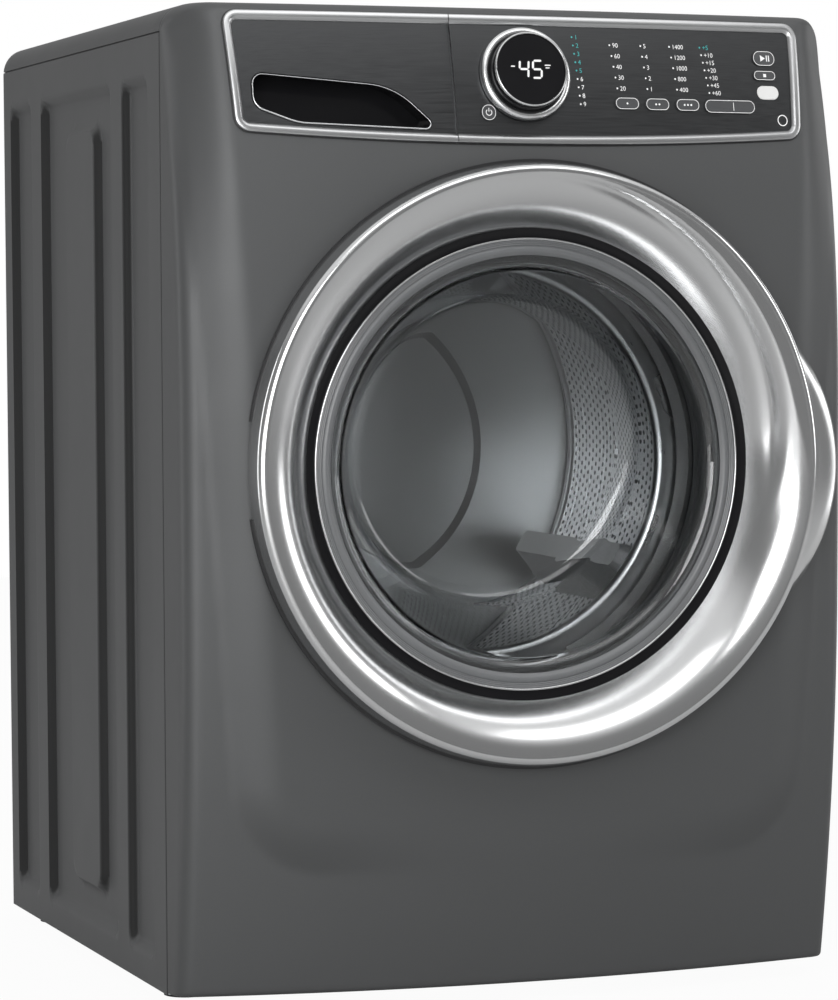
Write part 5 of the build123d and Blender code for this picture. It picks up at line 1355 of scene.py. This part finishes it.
def handle_edge(turn):
    """Radius of the handle's outer edge at an angle from its middle."""
    offset = HANDLE_REACH - HANDLE_R
    across = offset * sin(turn)
    return offset * cos(turn) + sqrt(max(0.0, HANDLE_R ** 2 - across ** 2))


def ring_section(degrees, face):
    """The ring's closed section at an angle: outer wall, ridge, face, and its hollow back."""
    lean = degrees - HANDLE_TURN
    reach = handle_edge(radians(lean)) if abs(lean) < HANDLE_SPAN else 0.0
    rim = RING_R + max(0.0, reach - RING_R) * eased((HANDLE_SPAN - abs(lean)) / HANDLE_EASE)
    lobe = eased((rim - RING_R) / HANDLE_EASE)
    rim_w = RING_BACK + (HANDLE_FRONT_W - RING_BACK) * lobe
    back_w = RING_BACK + (HANDLE_BACK_W - RING_BACK) * lobe
    start = RIDGE_START + (RIDGE_LOBE - RIDGE_START) * lobe
    centre = (RIDGE_R - RIDGE_SET, RIDGE_W - RIDGE_ROUND)
    ridge = arc(centre, RIDGE_ROUND, start, RIDGE_END, RIDGE_STEPS)
    section = []
    for share in spaced(0.0, 1.0, WALL_STEPS)[:-1]:
        swell = HANDLE_BULGE * lobe * sin(pi * share)
        r = rim + (ridge[0][0] - rim) * share
        section.append((r, rim_w + (ridge[0][1] - rim_w) * share + swell))
    section += ridge
    for r, w in face:
        section.append((r, min(w + ring_lift(r, degrees), RIDGE_W - RIDGE_LEAST)))
    section += RING_HOLLOW
    section += [(RING_R - BACK_INSET, back_w), (rim - RIM_INSET - LOBE_ROUND * lobe, back_w)]
    section.append((rim - RIM_LIP, back_w + LOBE_ROUND * lobe))
    return section


def door_ring():
    face = ring_face()
    rows = []
    for degrees in spaced(-180.0, 180.0, RING_STEPS)[:-1]:
        rows.append([round_axis(r, radians(degrees), w) for r, w in ring_section(degrees, face)])
    shape = sheet(rows, closed_columns=True, closed_rows=True)
    add_piece("door_ring_shell", shape, "door", "chrome", ["door_ring"], SHARP_DOOR)


def door_edge():
    """Black edge of the door's back, a hair wider than the ring, and open at the hinge."""
    front, back = RING_BACK - EDGE_FRONT, RING_BACK - EDGE_DEPTH
    edge = ((EDGE_R, front), (EDGE_R, back), (EDGE_INNER_R, back), (EDGE_INNER_R, front))
    gap = radians(HINGE_GAP)
    turns = spaced(gap - pi, pi - gap, TURN_STEPS)
    points, faces = sheet([[round_axis(r, turn, w) for turn in turns] for r, w in edge], closed_rows=True)
    for end in (0, TURN_STEPS):
        faces.append(tuple(row * len(turns) + end for row in range(len(edge))))
    add_piece("door_back_edge", (points, faces), "door", "black_plastic")


def offset_profile(profile, distance):
    """The same open profile of (radius, reach), moved sideways by a distance."""
    moved = []
    for k, (r, w) in enumerate(profile):
        before = profile[max(0, k - 1)]
        after = profile[min(len(profile) - 1, k + 1)]
        along = Vector((after[0] - before[0], after[1] - before[1])).normalized()
        moved.append((r - along.y * distance, w + along.x * distance))
    return moved


def bowl_profile():
    """Front side of the glass, from its rim to the middle of the bowl's end."""
    rim_w = SEAT_W + GLASS_THICK
    end_w = SEAT_W - BOWL_DEPTH + GLASS_THICK
    mouth, end = Vector((BOWL_R - GLASS_THICK, rim_w)), Vector((BOWL_END_R, end_w))
    wall = (end - mouth).normalized()
    lean = atan2(-wall.x, -wall.y)
    half = (pi / 2 - lean) / 2
    lean_degrees = lean * 180 / pi
    profile = [(GLASS_RIM_R, rim_w), (BOWL_R + GLASS_FLAT, rim_w)]
    throat = (mouth.x + THROAT_ROUND * tan(half), rim_w - THROAT_ROUND)
    profile += arc(throat, THROAT_ROUND, 90, 180 - lean_degrees, THROAT_STEPS)
    start = Vector(profile[-1])
    foot = end - wall * END_ROUND * tan(half)
    profile += [tuple(start.lerp(foot, share)) for share in spaced(0.0, 1.0, BOWL_WALL_STEPS)[1:-1]]
    heel = (end.x - END_ROUND * tan(half), end_w + END_ROUND)
    profile += arc(heel, END_ROUND, -lean_degrees, -90, HEEL_STEPS)
    r, w = profile[-1]
    for share in spaced(0.0, 1.0, DOME_STEPS)[1:]:
        profile.append((r + (BOWL_POLE_R - r) * share, w - END_DOME * (1 - (1 - share) ** 2)))
    return profile


def bowl_point(r, w, turn):
    """Point of the bowl, whose end is raised and leans back at its foot."""
    share = min(1.0, max(0.0, (SEAT_W - w) / BOWL_DEPTH))
    lean = -sin(radians(BOWL_TILT)) * r * sin(turn) * share
    return round_axis(r, turn, w - lean) + Vector((0, 0, BOWL_RISE * share))


def door_glass():
    """Glass bowl with a flat rim, as one closed solid."""
    inner = bowl_profile()
    outer = offset_profile(inner, GLASS_THICK)
    outer[0] = (GLASS_RIM_R, SEAT_W)
    outer[-1] = (BOWL_POLE_R, outer[-1][1])
    sides = []
    for profile in (inner, outer[::-1]):
        rows = [[bowl_point(r, w, turn) for turn in circle(LATHE_STEPS)] for r, w in profile]
        sides.append(sheet(rows, closed_columns=True))
    points, faces = join(sides)
    pole = (len(inner) - 1) * LATHE_STEPS
    rim = len(points) - LATHE_STEPS
    for k in range(LATHE_STEPS):
        after = (k + 1) % LATHE_STEPS
        faces.append((k, after, rim + after, rim + k))
    for first in (pole, pole + LATHE_STEPS):
        faces.append(tuple(range(first, first + LATHE_STEPS)))
    add_piece("door_glass_bowl", (points, faces), "door", "door_glass", ["door_glass"], SHARP_WALLS)


def door_inner_rings():
    """Black groove inside the chrome, its bright bead, and the stepped grey ring over the glass rim."""
    seat = SEAT_W + GROOVE_EASE
    face = seat + GLASS_THICK
    groove = [(BORE_R + GROOVE_LAP, BORE_W - GROOVE_SET), (BORE_R + GROOVE_EASE, BORE_W - GROOVE_SET),
              (BORE_R - GROOVE_SLOPE, face + GROOVE_RISE), (GROOVE_R, face + GROOVE_RISE),
              (GROOVE_R, face), (GLASS_RIM_R + GLASS_EASE, face),
              (GLASS_RIM_R + GLASS_EASE, seat), (BORE_R + GROOVE_LAP, seat)]
    shape = lathe(groove, TURN_STEPS, closed=True)
    add_piece("door_groove", shape, "door", "black_gloss", (), SHARP_GROOVE)
    bead = arc((GROOVE_R - BRIGHT_R, face + BRIGHT_RISE), BRIGHT_R, 0, 360, BRIGHT_SIDES)[:-1]
    add_piece("door_bead", lathe(bead, TURN_STEPS, closed=True), "door", "chrome")
    ring = [(GROOVE_R - RIM_EDGE, face), (GROOVE_R - RIM_EDGE, face + RIM_WALL)]
    for k in range(RIM_LINES):
        first = GROOVE_R - LINE_FIRST - LINE_PITCH * k
        ring += [(first - inset, face + height) for inset, height in LINE]
    first = GROOVE_R - LINE_LAST - LINE_PITCH * RIM_LINES
    for share in spaced(0.0, 1.0, RIM_STEPS):
        height = RIM_TOP + RIM_SWELL * sin(pi * share) - RIM_FALL * share
        ring.append((first + (RIM_RING_R + RIM_ROUND - first) * share, face + height))
    ring.append((RIM_RING_R, face))
    shape = lathe(ring, TURN_STEPS, closed=True)
    add_piece("door_rim_ring", shape, "door", "rim_grey", (), SHARP_RINGS)


# Drum, seen through the glass

def drum_wall():
    """Drum wall with a staggered pattern of real holes."""
    across = round(2 * pi * DRUM_R / HOLE_PITCH / 2) * 2
    length = DRUM_LENGTH - 2 * DRUM_BAND
    along = round(length / HOLE_PITCH)
    step_w = length / along
    hole_u = HOLE_R / (2 * pi * DRUM_R / across)
    hole_v = HOLE_R / step_w
    turns = [turn + pi / HOLE_SIDES for turn in circle(HOLE_SIDES)]
    cell = [(hole_u * cos(turn), hole_v * sin(turn)) for turn in turns]
    for turn in turns:
        big = 2 * max(abs(cos(turn)), abs(sin(turn)))
        cell.append((cos(turn) / big, sin(turn) / big))
    cell += [(0.5, 0.5), (-0.5, 0.5), (-0.5, -0.5), (0.5, -0.5)]
    cell_faces = []
    for k in range(HOLE_SIDES):
        after = (k + 1) % HOLE_SIDES
        quad = [k, after, HOLE_SIDES + after, HOLE_SIDES + k]
        if k % 2 == 0:
            quad.insert(3, 2 * HOLE_SIDES + k // 2)
        cell_faces.append(quad)
    points = []
    faces = []
    for i in range(along):
        for j in range(across):
            base = len(points)
            middle = j + 0.5 + 0.5 * (i % 2)
            for u, v in cell:
                reach = DRUM_FRONT_W - DRUM_BAND - (i + 0.5 + v) * step_w
                points.append(round_axis(DRUM_WALL_R, 2 * pi * (middle + u) / across, reach))
            faces += [tuple(base + k for k in face) for face in cell_faces]
    add_piece("drum_wall", (points, faces), "drum", "drum_steel", ["drum_shell"], SHARP_WALLS)


def drum_rims():
    """Plain bands at both ends of the drum wall, and its front with a rolled mouth."""
    bend_w = DRUM_FRONT_W - DRUM_BEND
    front = [(DRUM_WALL_R, DRUM_FRONT_W - DRUM_BAND)]
    front += arc((DRUM_WALL_R - DRUM_BEND, bend_w), DRUM_BEND, 0, 90, DRUM_BEND_STEPS)
    front += [(r, DRUM_FRONT_W + w) for r, w in DRUM_FACE]
    front += arc(MOUTH_AT, MOUTH_R, *MOUTH_ARC, MOUTH_STEPS) + [MOUTH_END]
    back_w = DRUM_FRONT_W - DRUM_LENGTH
    rear = [(DRUM_WALL_R, back_w + DRUM_BAND), (DRUM_WALL_R, back_w)]
    for name, profile in (("drum_front", front), ("drum_rear_band", rear)):
        piece = add_piece(name, lathe(profile, LATHE_STEPS), "drum", "drum_steel")
        thicken(piece, DRUM_RIM_SHEET)


# Rubber bellows and hoses between the cabinet and the tub

def blend_to_tub(piece):
    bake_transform(piece)


def door_gasket():
    """Rubber bellows between the front panel and the tub."""
    profile = [(r, LIP_W + w) for r, w in GASKET] + [GASKET_END]
    shape = lathe(profile, LATHE_STEPS)
    piece = add_piece("gasket_bellows", shape, None, "gasket_rubber", ["door_gasket"], SHARP_TUBES)
    thicken(piece, GASKET_THICK)
    blend_to_tub(piece)


def tub_hoses():
    """Ribbed hoses from the dispenser to the tub and from the tub to the pump."""
    low, high = (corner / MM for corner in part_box("tub_hoses"))
    y = (low.y + high.y) / 2
    r = (high.y - low.y) / 2
    runs = (("dispenser_hose", low.x + r, high.z, -UPPER_HOSE, ["tub_hoses"]),
            ("sump_hose", high.x - r, low.z, LOWER_HOSE, ()))
    for name, x, fixed_z, run, nodes in runs:
        count = round(abs(run) / HOSE_STEP)
        rows = []
        for k, share in enumerate(spaced(0.0, 1.0, count)):
            collar = min(share, 1 - share) * abs(run) < HOSE_COLLAR
            rib = 0.0 if collar else HOSE_RIB * (1 - cos(2 * pi * k * HOSE_STEP / HOSE_PITCH)) / 2
            radius = r - HOSE_EASE - rib
            rows.append([Vector((x + radius * cos(turn), y + radius * sin(turn), fixed_z + run * share))
                         for turn in circle(HOSE_SIDES)])
        shape = sheet(rows, closed_columns=True)
        piece = add_piece(name, shape, None, SLOTS["tub_hoses"], nodes, SHARP_TUBES)
        thicken(piece, HOSE_WALL, -1.0)
        blend_to_tub(piece)


front_panel()
for side, name in ((-1, "left"), (1, "right")):
    side_panel(side, name)
    painted_shade_strips(side, name)
top_panel()
rear_beads()
trim_frame()
trim_shadow()
dial()
display_digits()
legend()
button_marks()
blank_plates()
scoop_lip()
door_ring()
door_edge()
door_glass()
door_inner_rings()
drum_wall()
drum_rims()
door_gasket()
tub_hoses()


# Stage, lights and camera

def plain_stage():
    mesh = bpy.data.meshes.new("floor")
    corners = ((-1, -1), (1, -1), (1, 1), (-1, 1))
    mesh.from_pydata([(x * FLOOR_REACH, y * FLOOR_REACH, 0) for x, y in corners], [], [(0, 1, 2, 3)])
    floor = bpy.data.objects.new("floor", mesh)
    bpy.context.scene.collection.objects.link(floor)
    material, tree, shader = new_material("floor", FLOOR_GREY, 0.0, FLOOR_ROUGH)
    glow = add_node(tree, "ShaderNodeEmission", {"Strength": 1.0})
    path = add_node(tree, "ShaderNodeLightPath", {})
    sockets = {0: path.outputs["Is Camera Ray"], 1: FLOOR_WHITE}
    share = add_node(tree, "ShaderNodeMath", sockets, operation="MULTIPLY")
    sockets = {"Fac": share.outputs["Value"], 1: shader.outputs["BSDF"], 2: glow.outputs["Emission"]}
    mix = add_node(tree, "ShaderNodeMixShader", sockets)
    tree.links.new(mix.outputs["Shader"], tree.nodes["Material Output"].inputs["Surface"])
    mesh.materials.append(material)


def area_light(name, place, target, size, power):
    light = bpy.data.lights.new(name, "AREA")
    light.shape = "RECTANGLE"
    light.size, light.size_y = size
    light.energy = power
    lamp = bpy.data.objects.new(name, light)
    lamp.location = place
    lamp.rotation_euler = (Vector(target) - Vector(place)).to_track_quat("-Z", "Y").to_euler()
    bpy.context.scene.collection.objects.link(lamp)
    return lamp


def studio():
    """White backdrop for the camera, and a shaded room for everything that is lit or mirrored."""
    world = bpy.data.worlds.new("studio")
    bpy.context.scene.world = world
    world.use_nodes = True
    tree = world.node_tree
    background = tree.nodes["Background"]
    background.inputs["Color"].default_value = (1, 1, 1, 1)
    place = add_node(tree, "ShaderNodeTexCoord", {})
    parts = add_node(tree, "ShaderNodeSeparateXYZ", {"Vector": place.outputs["Generated"]})

    def combined(operation, first, second):
        return add_node(tree, "ShaderNodeMath", {0: first, 1: second}, operation=operation).outputs["Value"]

    room = ROOM_LEVEL
    for axis, start, end, level in ROOM_STEPS:
        step = map_range(tree, parts.outputs[axis], start, end, 0.0, level, interpolation_type="SMOOTHSTEP")
        room = combined("ADD", room, step)
    path = add_node(tree, "ShaderNodeLightPath", {})
    mirrored = combined("MULTIPLY", path.outputs["Is Glossy Ray"], MIRRORED_WHITE)
    white = combined("ADD", path.outputs["Is Camera Ray"], path.outputs["Is Transmission Ray"])
    white = combined("ADD", white, mirrored)
    shown = add_node(tree, "ShaderNodeMix", {"Factor": white, "A": room, "B": 1.0})
    tree.links.new(shown.outputs["Result"], background.inputs["Strength"])
    for lamp in LAMPS:
        area_light(*lamp)
    for lamp in DRUM_LAMPS:
        glow = area_light(*lamp)
        glow.visible_camera = False
        glow.visible_transmission = False
        glow.visible_glossy = False


def photo_camera():
    data = bpy.data.cameras.new("photo")
    data.sensor_fit = "VERTICAL"
    data.sensor_height = SENSOR
    data.lens = FOCAL_PX * SENSOR / PHOTO_HIGH
    data.shift_y = (AXIS_PX - PHOTO_HIGH / 2) / PHOTO_HIGH
    level = cos(CAMERA_PITCH)
    ahead = Vector((sin(CAMERA_YAW) * level, cos(CAMERA_YAW) * level, -sin(CAMERA_PITCH)))
    right = Vector((cos(CAMERA_YAW), -sin(CAMERA_YAW), 0))
    up = right.cross(ahead)
    turned_right = cos(CAMERA_ROLL) * right + sin(CAMERA_ROLL) * up
    turned_up = -sin(CAMERA_ROLL) * right + cos(CAMERA_ROLL) * up
    camera = bpy.data.objects.new("photo", data)
    place = Matrix((turned_right, turned_up, -ahead)).transposed().to_4x4()
    place.translation = Vector(CAMERA_AT) * MM
    camera.matrix_world = place
    bpy.context.scene.collection.objects.link(camera)
    bpy.context.scene.camera = camera


plain_stage()
studio()
photo_camera()
bpy.context.scene.view_settings.view_transform = "Standard"
